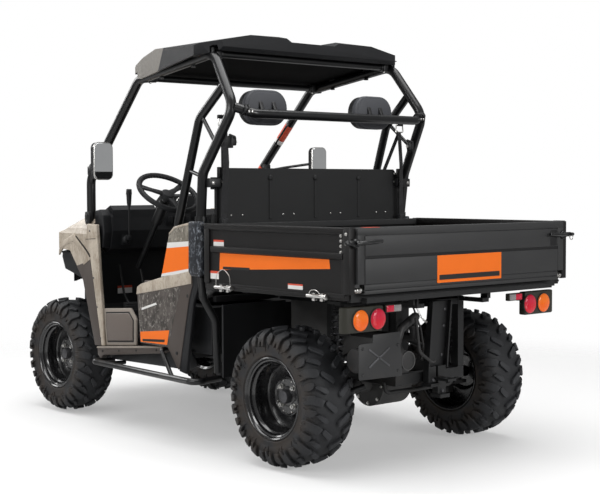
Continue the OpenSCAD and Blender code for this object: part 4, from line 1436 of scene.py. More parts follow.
def side_trim(name, finish, rows, body="chassis"):
    """Mirrored panels that face sideways, from (inner, outer, edge, steps, outline) rows."""
    mesh = bmesh.new()
    for low, high, edge, steps, outline in rows:
        plate(mesh, outline, "Y", low, high, edge, steps)
    mirror_copy(mesh)
    return piece(name, mesh, finish, body, 30)


taupe = paint_finish("taupe_plastic", (0.072, 0.059, 0.052))
taupe_mid = paint_finish("taupe_panel", (0.135, 0.112, 0.098))
taupe_light = paint_finish("taupe_edge", (0.250, 0.218, 0.188))
orange = paint_finish("orange_film", (0.88, 0.165, 0.008), 0.35)
white_film = paint_finish("white_film", (0.72, 0.71, 0.69), 0.35)
red_film = paint_finish("red_film", (0.62, 0.085, 0.045), 0.35)
ink = paint_finish("black_film", (0.016, 0.015, 0.014), 0.45)

shell = bmesh.new()
plate(shell, [
    (0.164, 0.764), (0.156, 0.786), (0.120, 0.801), (-0.073, 0.845), (-0.316, 0.884),
    (-0.321, 0.818), (-0.291, 0.745), (-0.208, 0.389), (-0.197, 0.381), (-0.107, 0.487),
    (0.137, 0.490),
], "Y", 0.6885, 0.7005, 0.004, 3)
# inner return along the front edge, and the box behind it
plate(shell, [
    (0.164, 0.764), (0.120, 0.801), (0.100, 0.780), (0.110, 0.500), (0.137, 0.490),
], "Y", 0.652, 0.690, 0.006, 2)
brick(shell, (-0.058, 0.664, 0.502), (0.112, 0.690, 0.818), 0.006)
mirror_copy(shell)
panel = piece("side_panel_shells", shell, taupe, "chassis", 30)
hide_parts("side_panels")

side_trim("side_panel_film", camo_deep, [
    (0.7000, 0.7016, 0.0007, 1, [
        (0.156, 0.744), (-0.232, 0.806), (-0.110, 0.492), (0.134, 0.494), (0.146, 0.640),
    ]),
])
side_trim("side_panel_bands", camo_pale, [
    (0.6995, 0.7050, 0.0028, 3, [
        (0.164, 0.742), (0.156, 0.782), (0.120, 0.800), (0.085, 0.808), (-0.050, 0.840),
        (-0.316, 0.888), (-0.318, 0.824), (-0.060, 0.779),
    ]),
])
side_trim("side_panel_slots", white_film, [
    (0.7010, 0.7036, 0.0012, 2, [
        (0.117, 0.662), (0.117, 0.674), (-0.010, 0.709), (-0.020, 0.700),
    ]),
])
side_trim("side_panel_flags", orange, [
    (0.7014, 0.7026, 0.0004, 1, [
        (0.132, 0.548), (-0.126, 0.576), (-0.106, 0.500), (0.128, 0.496),
    ]),
])
labels = bmesh.new()
plate(labels, [
    (0.112, 0.512), (-0.088, 0.526), (-0.085, 0.511), (0.111, 0.500),
], "Y", 0.7020, 0.7030, 0.0003, 1)
plate(labels, rounded((-0.289, 0.752), (-0.273, 0.768), 0.003, 3), "Y", 0.6995, 0.7010, 0.0004, 1)
mirror_copy(labels)
piece("side_panel_marks", labels, ink, "chassis", 30)
fixings = bmesh.new()
rod(fixings, (-0.188, 0.7000, 0.465), (-0.188, 0.7045, 0.465), 0.010, 20, 0.75, 0.0015)
mirror_copy(fixings)
piece("side_panel_fixings", fixings, frame_black, "chassis", 30)
side_trim("side_panel_returns", black_plastic, [
    (0.676, 0.6965, 0.005, 2, [
        (-0.310, 0.876), (-0.296, 0.770), (-0.279, 0.727), (-0.205, 0.400), (-0.202, 0.374),
        (-0.261, 0.365), (-0.325, 0.730), (-0.364, 0.806), (-0.364, 0.878),
    ]),
])

# ---- Quarter panels -------------------------------------------------------------------
# Upper panels beside the seat backs: grey camouflage over a white stripe, an orange block
# and a lower white stripe, with a night-pattern strip round the rear corner.

panel = side_trim("quarter_shells", camo_grey, [
    (0.6890, 0.7010, 0.005, 3, [
        (-0.060, 0.842), (-0.066, 0.866), (-0.128, 1.070), (-0.172, 1.102), (-0.338, 1.132),
        (-0.362, 1.134), (-0.362, 0.896), (-0.322, 0.884),
    ]),
])
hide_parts("quarter_panels")
side_trim("quarter_edges", camo_pale, [
    (0.6860, 0.7030, 0.004, 2, [
        (-0.124, 1.062), (-0.132, 1.074), (-0.174, 1.104), (-0.338, 1.134), (-0.338, 1.122),
        (-0.178, 1.092), (-0.138, 1.066),
    ]),
])
side_trim("quarter_stripes", white_film, [
    (0.7008, 0.7024, 0.0005, 1, [
        (-0.116, 1.021), (-0.334, 1.036), (-0.334, 1.012), (-0.109, 0.993),
    ]),
    (0.7008, 0.7030, 0.0006, 1, [
        (-0.066, 0.861), (-0.334, 0.903), (-0.330, 0.886), (-0.060, 0.845),
    ]),
])
side_trim("quarter_blocks", orange, [
    (0.7008, 0.7022, 0.0005, 1, [
        (-0.109, 0.993), (-0.334, 1.012), (-0.334, 0.903), (-0.066, 0.861),
    ]),
])
side_trim("quarter_corners", camo_night, [
    (0.7080, 0.7330, 0.007, 3, [
        (-0.336, 1.134), (-0.436, 1.136), (-0.438, 0.880), (-0.420, 0.862), (-0.350, 0.866),
        (-0.330, 0.884),
    ]),
    (0.6950, 0.7250, 0.006, 2, [
        (-0.322, 0.890), (-0.322, 1.130), (-0.352, 1.134), (-0.352, 0.880),
    ]),
])

# ---- Foot guards, sills and steps -----------------------------------------------------
# Framed taupe panels low in the door openings, sills with a pale lip and plugged holes,
# and a round step bar bent out under each side.

guard = side_trim("foot_guard_frames", taupe_light, [
    (0.628, 0.644, 0.006, 3, [
        (0.549, 0.432), (0.566, 0.560), (0.568, 0.636), (0.311, 0.655), (0.257, 0.600),
        (0.259, 0.458),
    ]),
])
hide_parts("foot_guards")
side_trim("foot_guard_grooves", ink, [
    (0.6425, 0.6450, 0.001, 1, [
        (0.533, 0.452), (0.547, 0.560), (0.549, 0.618), (0.320, 0.636), (0.276, 0.592),
        (0.278, 0.474),
    ]),
])
side_trim("foot_guard_panels", taupe_mid, [
    (0.6400, 0.6495, 0.005, 3, [
        (0.526, 0.461), (0.540, 0.562), (0.541, 0.611), (0.323, 0.628), (0.284, 0.588),
        (0.286, 0.482),
    ]),
])

sill = side_trim("sill_shells", taupe, [
    (0.624, 0.660, 0.005, 3, [
        (0.616, 0.420), (0.532, 0.428), (-0.035, 0.480), (-0.056, 0.470), (-0.003, 0.442),
        (0.556, 0.380), (0.581, 0.356), (0.612, 0.377),
    ]),
])
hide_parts("rocker_panels")
side_trim("sill_lips", taupe_light, [
    (0.634, 0.6640, 0.003, 2, [
        (0.616, 0.413), (0.616, 0.423), (0.532, 0.431), (-0.035, 0.483), (-0.050, 0.475),
        (0.530, 0.420),
    ]),
])
plugs = bmesh.new()
for x, z in ((0.560, 0.402), (0.400, 0.419), (0.235, 0.436), (0.050, 0.454)):
    rod(plugs, (x, 0.6595, z), (x, 0.6625, z), 0.0060, 16, 0.9, 0.0006)
mirror_copy(plugs)
piece("sill_plugs", plugs, ink, "chassis", 30)
side_trim("underbody_skirts", black_plastic, [
    (0.6035, 0.6115, 0.003, 2, [
        (0.560, 0.404), (0.000, 0.458), (-0.190, 0.475), (-0.245, 0.400), (-0.180, 0.368),
        (0.540, 0.356),
    ]),
])

# ---- Blank decals ---------------------------------------------------------------------
# Plain film with no lettering: a tapered orange flash along each bed side, an orange plate
# on the gate, and small white tags with a red head.

side_trim("bed_flashes", orange, [
    (bed_half - 0.0132, bed_half - 0.0122, 0.0003, 1, [
        (-0.595, 0.988), (-1.362, 0.9885), (-1.368, 0.947), (-0.590, 0.907),
    ]),
], "bed")
side_trim("bed_flash_marks", ink, [
    (bed_half - 0.0125, bed_half - 0.0117, 0.0002, 1, [
        (-0.618, 0.924), (-0.818, 0.927), (-0.818, 0.914), (-0.618, 0.911),
    ]),
], "bed")

film = bmesh.new()
brick(film, (gate_face - 0.0016, -0.231, 0.867), (gate_face + 0.002, 0.214, 0.991), 0.0005, 1)
piece("gate_film", film, orange, "tailgate", 30)
mark = bmesh.new()
brick(mark, (gate_face - 0.0024, -0.218, 0.880), (gate_face + 0.002, 0.201, 0.903), 0.0005, 1)
piece("gate_film_mark", mark, ink, "tailgate", 30)

for name, body, spots in (
    ("bed_tags", "bed", (
        ("Y", -0.546, -0.625, 1.018, 1.050, bed_half - 0.0122),
        ("Y", -0.522, -0.586, 0.862, 0.900, bed_half - 0.0116),
        ("Y", -1.090, -1.190, 0.846, 0.870, bed_half - 0.0122),
    )),
    ("cab_tags", "chassis", (
        ("X", 0.330, 0.428, 0.694, 0.738, 0.7580), ("X", 0.339, 0.416, 0.948, 0.970, 0.6620),
    )),
):
    slot = "bed_grey" if body == "bed" else "black_plastic"
    paper, heads = bmesh.new(), bmesh.new()
    for axis, first, last, low_z, high_z, face in spots:
        low_a, high_a = sorted((first, last))
        split = high_z - (high_z - low_z) * 0.30
        for target, bottom, top in ((paper, low_z, split), (heads, split, high_z)):
            if axis == "Y":
                brick(target, (low_a, face - 0.0006, bottom), (high_a, face + 0.0006, top), 0)
            else:
                brick(target, (face - 0.0006, low_a, bottom), (face + 0.0006, high_a, top), 0)
    piece(f"{name}_paper", paper, white_film, body, 30)
    piece(f"{name}_heads", heads, red_film, body, 30)
tag = bmesh.new()
brick(
    tag, (gate_face + 0.002, 0.575, bed_top - 0.0005), (gate_face + 0.028, 0.668, bed_top + 0.0006),
    0,
)
piece("gate_tag", tag, red_film, "tailgate", 30)
paper, heads = bmesh.new(), bmesh.new()
post_low = Vector((0.755, -0.600, 1.354))
post_high = Vector((A_TOP[0], -A_TOP[1], A_TOP[2]))
for target, first, last in (
    (heads, 0.46, 0.62), (paper, 0.42, 0.46), (heads, 0.06, 0.14), (paper, 0.02, 0.06)
):
    rod(target, post_low.lerp(post_high, first), post_low.lerp(post_high, last), TUBE + 0.0006, 24)
piece("post_tag_paper", paper, white_film, "chassis", 30)
piece("post_tag_heads", heads, red_film, "chassis", 30)

# ---- Tail lamps -----------------------------------------------------------------------
# A rounded olive-black housing at each side with a domed amber and a domed red lens, and a
# small reflector of red and clear prisms inboard.


def lens_finish(name, deep, pale, glow):
    """Ribbed coloured plastic: paler on its upper half, a painted highlight, and deep below, with a faint
    emission that is a painted glow.
    """
    place = new_finish(name)
    # painted highlight: the upper half of each lens is mixed towards the paler tint
    height = place.part("Z").step(0.706, 0.742)
    ribs = place.node("TexWave", {"bands_direction": "Z"}, {"Vector": place, "Scale": 62.0})
    cells = place.cells(170.0)
    colour = mixed(cells.step(0.2, 0.8) * 0.4, mixed(height * 0.45, deep, pale), deep)
    # the emission makes the unlit lenses glow faintly: a painted glow
    return done(
        place, colour, cells * 0.08 + 0.10, ribs * 0.6 + cells * 0.4, 0.0012,
        Coat_Weight=0.35, Coat_Roughness=0.03, Specular_IOR_Level=0.25,
        Emission_Color=(*deep, 1.0), Emission_Strength=glow,
    )


# the last number is the strength of the painted glow
amber = lens_finish("amber_lens", (0.80, 0.115, 0.001), (0.90, 0.27, 0.03), 0.12)
red = lens_finish("red_lens", (0.56, 0.003, 0.018), (0.44, 0.03, 0.09), 0.10)
clear = lens_finish("clear_lens", (0.20, 0.19, 0.19), (0.40, 0.38, 0.38), 0.0)
olive = paint_finish("lamp_housing", (0.030, 0.029, 0.022), 0.45)

LAMP_Z = 0.722
housings = bmesh.new()
plate(housings, [
    (-1.446, 0.496), (-1.446, 0.706), (-1.432, 0.728), (-1.410, 0.728), (-1.405, 0.716),
    (-1.405, 0.496),
], "Z", 0.668, 0.782, 0.007, 3)
for y in (0.528, 0.634):
    rod(housings, (-1.444, y, LAMP_Z), (-1.452, y, LAMP_Z), 0.0500, 36, 0.97, 0.002)
brick(housings, (-1.444, 0.374, 0.744), (-1.420, 0.474, 0.780), 0.004)
brick(housings, (-1.430, 0.460, 0.740), (-1.400, 0.500, 0.776), 0.004)
mirror_copy(housings)
housing = piece("lamp_housings", housings, olive, "bed", 30)
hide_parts("tail_lamps")


def dome(mesh, centre, radius, depth):
    """A shallow round lens bulging towards -X."""
    rings, steps = 8, 40
    centre = Vector(centre)
    outline = []
    for step in range(rings + 1):
        turn = math.pi / 2 * step / rings
        outline.append((depth * math.cos(turn), radius * math.sin(turn)))
    outline += [(-0.004, radius), (-0.004, 0.0)]
    layers = []
    for out, reach in outline:
        if reach < 1e-6:
            layers.append([mesh.verts.new(centre + Vector((-out, 0, 0)))])
        else:
            layers.append([
                mesh.verts.new(
                    centre + Vector((-out, reach * math.cos(turn), reach * math.sin(turn)))
                )
                for turn in (math.tau * step / steps for step in range(steps))
            ])
    faces = []
    for inner, outer in zip(layers, layers[1:]):
        for step in range(steps):
            if len(inner) == 1:
                corners = (inner[0], outer[step - 1], outer[step])
            elif len(outer) == 1:
                corners = (inner[step - 1], outer[0], inner[step])
            else:
                corners = (inner[step - 1], outer[step - 1], outer[step], inner[step])
            faces.append(mesh.faces.new(corners))
    bmesh.ops.recalc_face_normals(mesh, faces=faces)


reds, ambers, clears = bmesh.new(), bmesh.new(), bmesh.new()
dome(ambers, (-1.450, 0.634, LAMP_Z), 0.0465, 0.0125)
dome(reds, (-1.450, 0.528, LAMP_Z), 0.0465, 0.0125)
brick(reds, (-1.4475, 0.424, 0.748), (-1.440, 0.470, 0.776), 0.0012)
brick(clears, (-1.4475, 0.378, 0.748), (-1.440, 0.4235, 0.776), 0.0012)
for mesh in (reds, ambers, clears):
    mirror_copy(mesh)
red_piece = piece("red_lenses", reds, red, "bed", 40)
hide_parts("tail_lenses")
piece("amber_lenses", ambers, amber, "bed", 40)
piece("clear_reflectors", clears, clear, "bed", 40)

# ---- Nose -----------------------------------------------------------------------------
# Faceted hood and fenders in pale camouflage, each fender with a pale leg and a taupe band
# down the door opening; a black fascia with a slatted grille, and two round headlamps.

keep_solid("hood", camo_pale, 0.006, 3, 14)
keep_solid("front_fenders", camo_pale, 0.005, 3, 14)
keep_solid("front_fascia", black_plastic, 0.004, 2)
side_trim("fender_legs", camo_pale, [
    (0.6380, 0.6535, 0.005, 3, [
        (0.553, 0.431), (0.584, 0.428), (0.612, 0.560), (0.690, 0.905), (0.724, 1.010),
        (0.724, 1.098), (0.628, 1.094), (0.600, 0.860),
    ]),
    (0.6440, 0.6570, 0.004, 3, [
        (0.690, 0.917), (0.724, 0.948), (0.832, 1.026), (0.860, 1.040), (0.962, 1.000),
        (1.016, 0.950), (1.020, 0.912), (1.004, 0.930), (0.955, 0.972), (0.870, 0.998),
        (0.836, 0.990), (0.765, 0.925), (0.757, 0.866), (0.690, 0.900),
    ]),
])
side_trim("fender_bands", taupe, [
    (0.6360, 0.6545, 0.004, 3, [
        (0.580, 0.428), (0.648, 0.426), (0.694, 0.560), (0.766, 0.782), (0.833, 0.861),
        (0.757, 0.880), (0.700, 0.912), (0.686, 0.905), (0.608, 0.560),
    ]),
])
# dark seams: across the leg, along the arch, and the vent slit below the hood's edge
side_trim("fender_seams", ink, [
    (0.6520, 0.6540, 0, 2, [(0.632, 1.017), (0.733, 1.011), (0.733, 1.014), (0.632, 1.020)]),
    (0.6505, 0.6578, 0, 2, [
        (0.688, 0.914), (0.724, 0.947), (0.834, 1.025), (0.834, 1.030), (0.722, 0.953),
        (0.686, 0.920),
    ]),
])
# seat bracket of the cage's front foot, on the fender's shoulder
feet = bmesh.new()
studs = bmesh.new()
plate(feet, [
    (0.712, 1.100), (0.756, 1.098), (0.762, 1.140), (0.757, 1.166), (0.716, 1.166), (0.709, 1.140),
], "Y", 0.6240, 0.6420, 0.004, 2)
for z in (1.115, 1.148):
    bolt(studs, (0.734, 0.642, z), (0, 1, 0), 0.011, 0.004)
for x, z in ((0.590, 0.470), (0.622, 0.640), (0.655, 0.800), (0.690, 1.060)):
    rod(studs, (x, 0.6530, z), (x, 0.6555, z), 0.0060, 14, 0.8, 0.0008)
mirror_copy(feet)
mirror_copy(studs)
piece("front_foot_brackets", feet, frame_black, "chassis", 30)
piece("fender_fixings", studs, dull_cap, "chassis", 30)

slats = bmesh.new()
for height in (0.656, 0.683, 0.710, 0.737, 0.764):
    plate(slats, [
        (1.440, height - 0.004), (1.486, height - 0.008), (1.488, height + 0.002),
        (1.442, height + 0.004),
    ], "Y", -0.152, 0.152, 0.0015)
for y in (-0.148, -0.050, 0.050, 0.148):
    brick(slats, (1.446, y - 0.006, 0.636), (1.474, y + 0.006, 0.784), 0.002)
piece("grille_slats", slats, black_plastic, "chassis", 30)


def chrome_bowl_finish():
    place = new_finish("lamp_bowl")
    haze = place.cloud(50.0, 3.0)
    return done(
        place, mixed(haze, (0.70, 0.71, 0.72), (0.86, 0.87, 0.88)), haze * 0.1 + 0.08, Metallic=1.0
    )


def clear_lens_finish():
    """Clear moulded lens: mostly see-through, with a hard sheen and fine ribs."""
    place = new_finish("lamp_glass")
    ribs = place.node("TexWave", {"bands_direction": "Y"}, {"Vector": place, "Scale": 40.0})
    tint = place.cloud(20.0)
    return done(
        place, mixed(tint, (0.80, 0.83, 0.85), (0.90, 0.92, 0.93)), tint * 0.04 + 0.04, ribs,
        0.0006,
        Alpha=ribs * 0.10 + 0.22, Coat_Weight=1.0, Coat_Roughness=0.02,
    )


bezels, bowls, glasses = bmesh.new(), bmesh.new(), bmesh.new()
for mesh, outline in (
    (bezels, [(0.000, 0.053), (0.006, 0.055), (0.008, 0.052), (0.004, 0.048), (-0.010, 0.047)]),
    (
        bowls,
        [(0.000, 0.048), (-0.020, 0.044), (-0.040, 0.030), (-0.048, 0.014), (-0.024, 0.010), (-0.022, 0.0)],
    ),
    (glasses, [(0.002, 0.048), (0.010, 0.040), (0.015, 0.026), (0.017, 0.012), (0.0175, 0.0)]),
):
    lathe(mesh, outline, 48)
    bmesh.ops.rotate(
        mesh, verts=mesh.verts, cent=(0, 0, 0), matrix=Matrix.Rotation(-math.pi / 2, 3, "Z")
    )
    bmesh.ops.translate(mesh, verts=mesh.verts, vec=(1.447, 0.215, 0.850))
    mirror_copy(mesh)
lamp_bowl = piece("headlamp_bowls", bowls, chrome_bowl_finish(), "chassis", 40)
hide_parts("headlights")
piece("headlamp_bezels", bezels, black_plastic, "chassis", 40)
piece("headlamp_lenses", glasses, clear_lens_finish(), "chassis", 40)

# ---- Dashboard and controls -----------------------------------------------------------
# Grained dash with end caps, a hooded gauge, rocker switches and an open shelf; a padded
# three-spoke wheel; a straight lever with a two-part knob; and two pedals on the toe board.

keep_solid("dashboard", black_plastic, 0.006, 3)
mesh = bmesh.new()
plate(mesh, [
    (0.612, 1.050), (0.622, 1.146), (0.648, 1.180), (0.704, 1.172), (0.704, 0.960), (0.630, 0.965),
], "Y", 0.552, 0.612, 0.008, 3)
brick(mesh, (0.597, -0.500, 0.968), (0.612, -0.140, 1.028), 0.004)
brick(mesh, (0.602, 0.020, 1.080), (0.612, 0.200, 1.150), 0.004)
for y in (0.048, 0.088, 0.128, 0.168):
    brick(mesh, (0.594, y - 0.014, 1.096), (0.606, y + 0.014, 1.134), 0.003)
for y in (-0.020, -0.080):
    rod(mesh, (0.608, y, 1.118), (0.590, y, 1.118), 0.014, 20, 0.85, 0.002)
piece("dash_fittings", mesh, black_plastic, "chassis", 30)
bezels, faces = bmesh.new(), bmesh.new()
ring = circle(Vector((0.599, 0.092, 1.206)), Vector((0, 0.037, 0)), Vector((0, 0, 0.037)), 32)
pipe(bezels, ring, 0.0030, 0.001, 8)
dome(faces, (0.600, 0.092, 1.206), 0.036, 0.003)
piece("gauge_bezel", bezels, plated, "chassis", 50)


def gauge_finish():
    """Dark glass over a pale ring of marks."""
    place = new_finish("gauge_glass")
    middle = place.node(
        "VectorMath", {"operation": "DISTANCE"}, {0: place, 1: (0.600, 0.092, 1.206)}, "Value"
    )
    marks = middle.step(0.0240, 0.0246) * (1 - middle.step(0.0270, 0.0276))
    colour = mixed(marks * 0.7, (0.006, 0.007, 0.008), (0.45, 0.46, 0.47))
    return done(
        place, colour, place.cloud(30.0) * 0.03 + 0.05, Coat_Weight=1.0, Coat_Roughness=0.02
    )


piece("gauge_face", faces, gauge_finish(), "chassis", 40)

GRIP_RING = 0.170
wheel_place = Matrix.Translation((0.350, 0.360, 1.270)) @ Matrix.Rotation(math.radians(-35), 4, "Y")
grip = bmesh.new()
ring = circle(Vector(), Vector((GRIP_RING, 0, 0)), Vector((0, GRIP_RING, 0)), 64)
pipe(grip, ring, 0.0145, 0.0005, 16)
for turn in range(48):
    angle = math.tau * turn / 48
    out = Vector((math.cos(angle), math.sin(angle), 0))
    rod(
        grip, out * 0.1565 + Vector((0, 0, -0.006)), out * 0.1555 + Vector((0, 0, 0.006)), 0.0040,
        8,
    )
rod(grip, (0, 0, -0.036), (0, 0, 0.001), 0.040, 36, 0.92, 0.005)
for angle in (math.radians(60), math.radians(180), math.radians(300)):
    out = Vector((math.cos(angle), math.sin(angle), 0))
    side = Vector((-out.y, out.x, 0))
    arm = bmesh.new()
    plate(arm, [
        (0.030, -0.020), (0.090, -0.014), (0.163, -0.019), (0.163, 0.019), (0.090, 0.014),
        (0.030, 0.020),
    ], "Z", -0.019, -0.006, 0.004, 2)
    bmesh.ops.rotate(arm, verts=arm.verts, cent=(0, 0, 0), matrix=Matrix.Rotation(angle, 3, "Z"))
    absorb(grip, arm)
bmesh.ops.transform(grip, matrix=wheel_place, verts=grip.verts)
wheel_piece = piece(
    "steering_wheel_grip", grip, black_plastic, "steering_wheel", 40
)
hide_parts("steering_wheel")

LEVER = (0.575, 0.468)
knob = bmesh.new()
rod(knob, (*LEVER, 1.204), (*LEVER, 1.262), 0.0120, 24, 1.28, 0.002)
rod(knob, (*LEVER, 1.260), (*LEVER, 1.292), 0.0172, 24, 0.86, 0.004)
rod(knob, (*LEVER, 1.196), (*LEVER, 1.206), 0.0090, 16, 1.2, 0.001)
rod(knob, (0.616, 0.468, 1.010), (0.590, 0.468, 1.014), 0.030, 24, 0.6, 0.003)
brick(knob, (0.566, 0.455, 1.008), (0.606, 0.481, 1.032), 0.005)
brick(knob, (0.604, 0.440, 0.980), (0.616, 0.496, 1.044), 0.003)
lever = piece("gear_lever_knob", knob, black_plastic, "chassis", 30)
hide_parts("gear_lever")
stick = bmesh.new()
pipe(
    stick, [(0.600, 0.468, 1.012), (*LEVER, 1.026), (*LEVER, 1.204)], 0.0058, 0.014, 14
)
piece("gear_lever_rod", stick, frame_black, "chassis", 40)

pedals = bmesh.new()
for y, width, height in ((0.430, 0.090, 0.060), (0.290, 0.055, 0.090)):
    pad = bmesh.new()
    brick(pad, (-0.006, -width / 2, -height / 2), (0.006, width / 2, height / 2), 0.003)
    for step in range(4):
        level = height * (step - 1.5) / 5
        brick(
            pad, (-0.009, -width / 2 + 0.006, level - 0.003),
            (-0.004, width / 2 - 0.006, level + 0.003), 0.001,
        )
    bmesh.ops.rotate(
        pad, verts=pad.verts, cent=(0, 0, 0), matrix=Matrix.Rotation(math.radians(25), 3, "Y")
    )
    bmesh.ops.translate(pad, verts=pad.verts, vec=(0.620, y, 0.625))
    absorb(pedals, pad)
    pipe(pedals, [(0.625, y, 0.622), (0.690, y, 0.700), (0.735, y, 0.860)], 0.007, 0.05, 10)
piece("pedals", pedals, frame_black, "chassis", 30)

# ---- Seats ----------------------------------------------------------------------------
# Two separate seats in black vinyl: foam swollen by cloth pressure, then sewn channels
# sunk into it, with a piped cord round each cushion and back.


VOXEL = 0.009
PRESSURE = 4.0
CLOTH_FRAMES = 20
SWELL_CAP = 0.011
CHANNEL_WIDTH = 0.009
CHANNEL_DEPTH = 0.007
SEAT_MIDDLE = 0.300
SEAT_HALF = 0.233
CORD_HALF = 0.238
CORD_RADIUS = 0.0034


def stuffed(name, mesh, channels):
    """Swells a closed form like foam under vinyl, then sinks its sewn channels."""
    data = bpy.data.meshes.new(name)
    mesh.to_mesh(data)
    mesh.free()
    thing = bpy.data.objects.new(name, data)
    scene = bpy.context.scene
    scene.collection.objects.link(thing)

    def settle():
        graph = bpy.context.evaluated_depsgraph_get()
        made = bpy.data.meshes.new_from_object(thing.evaluated_get(graph))
        thing.modifiers.clear()
        return made

    remesh = thing.modifiers.new("remesh", "REMESH")
    remesh.mode = "VOXEL"
    remesh.voxel_size = VOXEL
    thing.data = settle()
    start = [vert.co.copy() for vert in thing.data.vertices]
    cloth = thing.modifiers.new("cloth", "CLOTH")
    cloth.settings.use_pressure = True
    cloth.settings.uniform_pressure_force = PRESSURE
    cloth.settings.effector_weights.gravity = 0.0
    cloth.point_cache.frame_end = CLOTH_FRAMES
    for number in range(1, CLOTH_FRAMES + 1):
        scene.frame_set(number)
    swollen = settle()
    for vert, first in zip(swollen.vertices, start):
        move = vert.co - first
        if move.length > SWELL_CAP:
            vert.co = first + move.normalized() * SWELL_CAP
    thing.data = swollen
    scene.frame_set(1)
    form = bmesh.new()
    form.from_mesh(thing.data)
    bpy.data.objects.remove(thing)
    bmesh.ops.smooth_vert(
        form, verts=form.verts, factor=0.5, use_axis_x=True, use_axis_y=True, use_axis_z=True
    )
    form.normal_update()
    sunk = []
    for vert in form.verts:
        depth = 0.0
        for axis, value in channels:
            depth = max(depth, math.exp(-(((vert.co[axis] - value) / CHANNEL_WIDTH) ** 2)))
        sunk.append(vert.co - vert.normal * depth * CHANNEL_DEPTH)
    for vert, place in zip(form.verts, sunk):
        vert.co = place
    pad = piece(name, form, seat_vinyl, "chassis", 70)
    smooth = pad.modifiers.new("smooth", "SUBSURF")
    smooth.levels = 1
    smooth.render_levels = 1
    return pad


cords = bmesh.new()
pads = []
for side, hand in ((1, "left"), (-1, "right")):
    middle = SEAT_MIDDLE * side
    form = bmesh.new()
    plate(form, [
        (-0.258, 0.714), (0.192, 0.714), (0.213, 0.742), (0.204, 0.785), (0.166, 0.800),
        (-0.196, 0.772), (-0.258, 0.772),
    ], "Y", middle - SEAT_HALF, middle + SEAT_HALF, 0.020, 3)
    channels = [(1, middle - 0.150), (1, middle + 0.150), (0, -0.110), (0, 0.060)]
    pads.append(stuffed(f"seat_cushion_{hand}", form, channels))
    form = bmesh.new()
    plate(form, [
        (-0.268, 0.812), (-0.222, 0.816), (-0.300, 1.328), (-0.322, 1.346), (-0.366, 1.342),
        (-0.374, 1.322), (-0.324, 0.812),
    ], "Y", middle - SEAT_HALF, middle + SEAT_HALF, 0.020, 3)
    channels = [(1, middle - 0.150), (1, middle + 0.150), (2, 0.980), (2, 1.150)]
    pads.append(stuffed(f"seat_back_{hand}", form, channels))
    edge = [
        (-0.262, middle - CORD_HALF, 0.745), (0.214, middle - CORD_HALF, 0.758),
        (0.214, middle + CORD_HALF, 0.758), (-0.262, middle + CORD_HALF, 0.745),
    ]
    pipe(cords, edge + [edge[0]], CORD_RADIUS, 0.030, 8)
    edge = [
        (-0.292, middle - CORD_HALF, 0.830), (-0.342, middle - CORD_HALF, 1.336),
        (-0.342, middle + CORD_HALF, 1.336), (-0.292, middle + CORD_HALF, 0.830),
    ]
    pipe(cords, edge + [edge[0]], CORD_RADIUS, 0.040, 8)
piece("seat_piping", cords, seat_vinyl, "chassis", 50)
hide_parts("seat_cushions")
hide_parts("seat_backs")

# ---- Exhaust --------------------------------------------------------------------------
# Silencer drum across the tail behind a pressed heat plate with a crossed rib, a short
# outlet can with bright rims, and a pipe that runs forward to the engine.


def hot_steel_finish():
    """Dull silencer paint, rubbed grey and a little rusty."""
    place = new_finish("silencer_paint")
    patch = place.cloud(14.0, 5.0)
    rust = place.cloud(60.0, 5.0, 0.7).step(0.56, 0.72)
    colour = mixed(patch, (0.014, 0.0142, 0.015), (0.034, 0.033, 0.033))
    return done(
        place, mixed(rust * 0.35, colour, (0.075, 0.045, 0.030)), patch * 0.25 + 0.42,
        place.cloud(300.0, 3.0), 0.0003, Metallic=0.3,
    )


silencer_paint = hot_steel_finish()
shield_paint = satin_black_finish(
    "shield_paint", (0.019, 0.0192, 0.020), (0.026, 0.0262, 0.027), 0.44, 0.0, 0.35
)
sheet = bmesh.new()
plate(sheet, [
    (0.608, 0.604), (0.600, 0.612), (0.522, 0.612), (0.518, 0.648), (0.350, 0.650), (0.346, 0.600),
    (0.334, 0.452), (0.344, 0.448), (0.600, 0.452), (0.606, 0.460),
], "X", -1.4115, -1.4060, 0.0022, 2)
ribs = bmesh.new()
for start, end in (((0.546, 0.584), (0.417, 0.501)), ((0.417, 0.583), (0.546, 0.503))):
    along = (Vector((0, *end)) - Vector((0, *start))).normalized()
    wide = Vector((0, -along.z, along.y)) * 0.0045
    corners = [
        Vector((0, *start)) + wide, Vector((0, *end)) + wide, Vector((0, *end)) - wide,
        Vector((0, *start)) - wide,
    ]
    plate(ribs, [(corner.y, corner.z) for corner in corners], "X", -1.4145, -1.4105, 0.0015, 2)
for y in (0.362, 0.584):
    for z in (0.474, 0.590):
        rod(sheet, (-1.4100, y, z), (-1.4150, y, z), 0.0085, 14, 0.7, 0.001)
shield = piece("heat_plate", sheet, shield_paint, "chassis", 30)
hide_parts("exhaust")
piece("heat_plate_ribs", ribs, dull_cap, "chassis", 30)

DRUM = (-1.346, 0.530)
drum = bmesh.new()
for start, end, radius in ((0.302, 0.568, 0.0560), (0.296, 0.306, 0.0530), (0.564, 0.572, 0.0530)):
    rod(drum, (DRUM[0], start, DRUM[1]), (DRUM[0], end, DRUM[1]), radius, 40, 1.0, 0.003)
for y in (0.330, 0.540):
    rod(drum, (DRUM[0], y - 0.010, DRUM[1]), (DRUM[0], y + 0.010, DRUM[1]), 0.0580, 40, 1.0, 0.002)
rod(drum, (-1.334, 0.286, 0.510), (-1.402, 0.286, 0.510), 0.0420, 32, 1.0, 0.002)
for z in (0.482, 0.566):
    brick(drum, (-1.406, 0.440, z), (-1.366, 0.466, z + 0.010), 0.002)
pipe(drum, [
    (-1.346, 0.330, 0.540), (-1.332, 0.262, 0.650), (-1.320, 0.150, 0.700), (-1.240, 0.090, 0.660),
    (-1.225, 0.060, 0.585), (-1.000, 0.060, 0.575), (-0.800, 0.060, 0.575),
], 0.0205, 0.030, 16)
piece("silencer", drum, silencer_paint, "chassis", 35)
rims = bmesh.new()
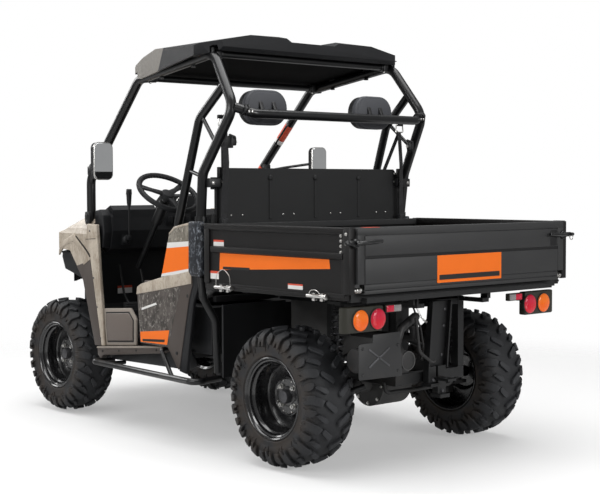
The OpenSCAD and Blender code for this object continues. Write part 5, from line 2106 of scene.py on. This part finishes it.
for x in (-1.402, -1.372):
    ring = circle(Vector((x, 0.286, 0.510)), Vector((0, 0.0425, 0)), Vector((0, 0, 0.0425)), 24)
    pipe(rims, ring, 0.0026, 0.001, 8)
piece("silencer_rims", rims, cast_metal, "chassis", 50)

# ---- Hitch and tail frame -------------------------------------------------------------
# A raked U channel from the rear cross tube to the drawbar, with two unequal legs on foot
# plates, bolts and a pierced drawbar. A hose and a slack chain hang beside it.

keep_solid("hitch_frame", frame_black, 0.003)
mesh = bmesh.new()
for y, z in ((-0.044, 0.720), (0.044, 0.720), (-0.044, 0.640), (0.044, 0.560), (-0.044, 0.500)):
    bolt(mesh, (-1.3245 + (0.762 - z) * 0.096, y, z), (-1, 0, 0), 0.014, 0.008)
for y, z in ((-0.028, 0.330), (0.038, 0.388)):
    bolt(mesh, (-1.322, y, z), (-1, 0, 0), 0.016, 0.008)
rod(mesh, (-1.384, 0.020, 0.400), (-1.384, 0.020, 0.4015), 0.004, 10)
piece("hitch_bolts", mesh, dull_cap, "chassis", 30)
arms = bmesh.new()
pipe(arms, [
    (-1.200, 0.236, 0.384), (-1.200, 0.229, 0.331), (-1.200, -0.229, 0.331),
    (-1.200, -0.236, 0.384),
], 0.011, 0.03, 12)
piece("rear_cross_arm", arms, frame_black, "chassis", 40)
hoses = bmesh.new()
pipe(hoses, [
    (-1.372, 0.205, 0.700), (-1.380, 0.201, 0.622), (-1.380, 0.190, 0.540), (-1.370, 0.098, 0.485),
    (-1.330, 0.034, 0.478),
], 0.0075, 0.05, 12)
pipe(hoses, [
    (-1.300, 0.150, 0.745), (-1.330, 0.128, 0.640), (-1.320, 0.100, 0.560), (-1.285, 0.060, 0.520),
], 0.0045, 0.05, 10)
piece("rear_hoses", hoses, boot_rubber, "chassis", 50)
links = bmesh.new()
count = 9
for number in range(count):
    share = (number + 0.5) / count
    middle = Vector(
        (-1.400, 0.239 - 0.076 * share, 0.766 - 0.088 * share - 0.016 * math.sin(math.pi * share))
    )
    along = Vector((0, -0.076, -0.088 - 0.050 * math.cos(math.pi * share))).normalized()
    wide = Vector((1, 0, 0)) if number % 2 else along.cross(Vector((1, 0, 0)))
    pipe(links, circle(middle, along * 0.0075, wide * 0.0042, 12), 0.0013, 0.0005, 6)
piece("tail_chain", links, plated, "chassis", 60)
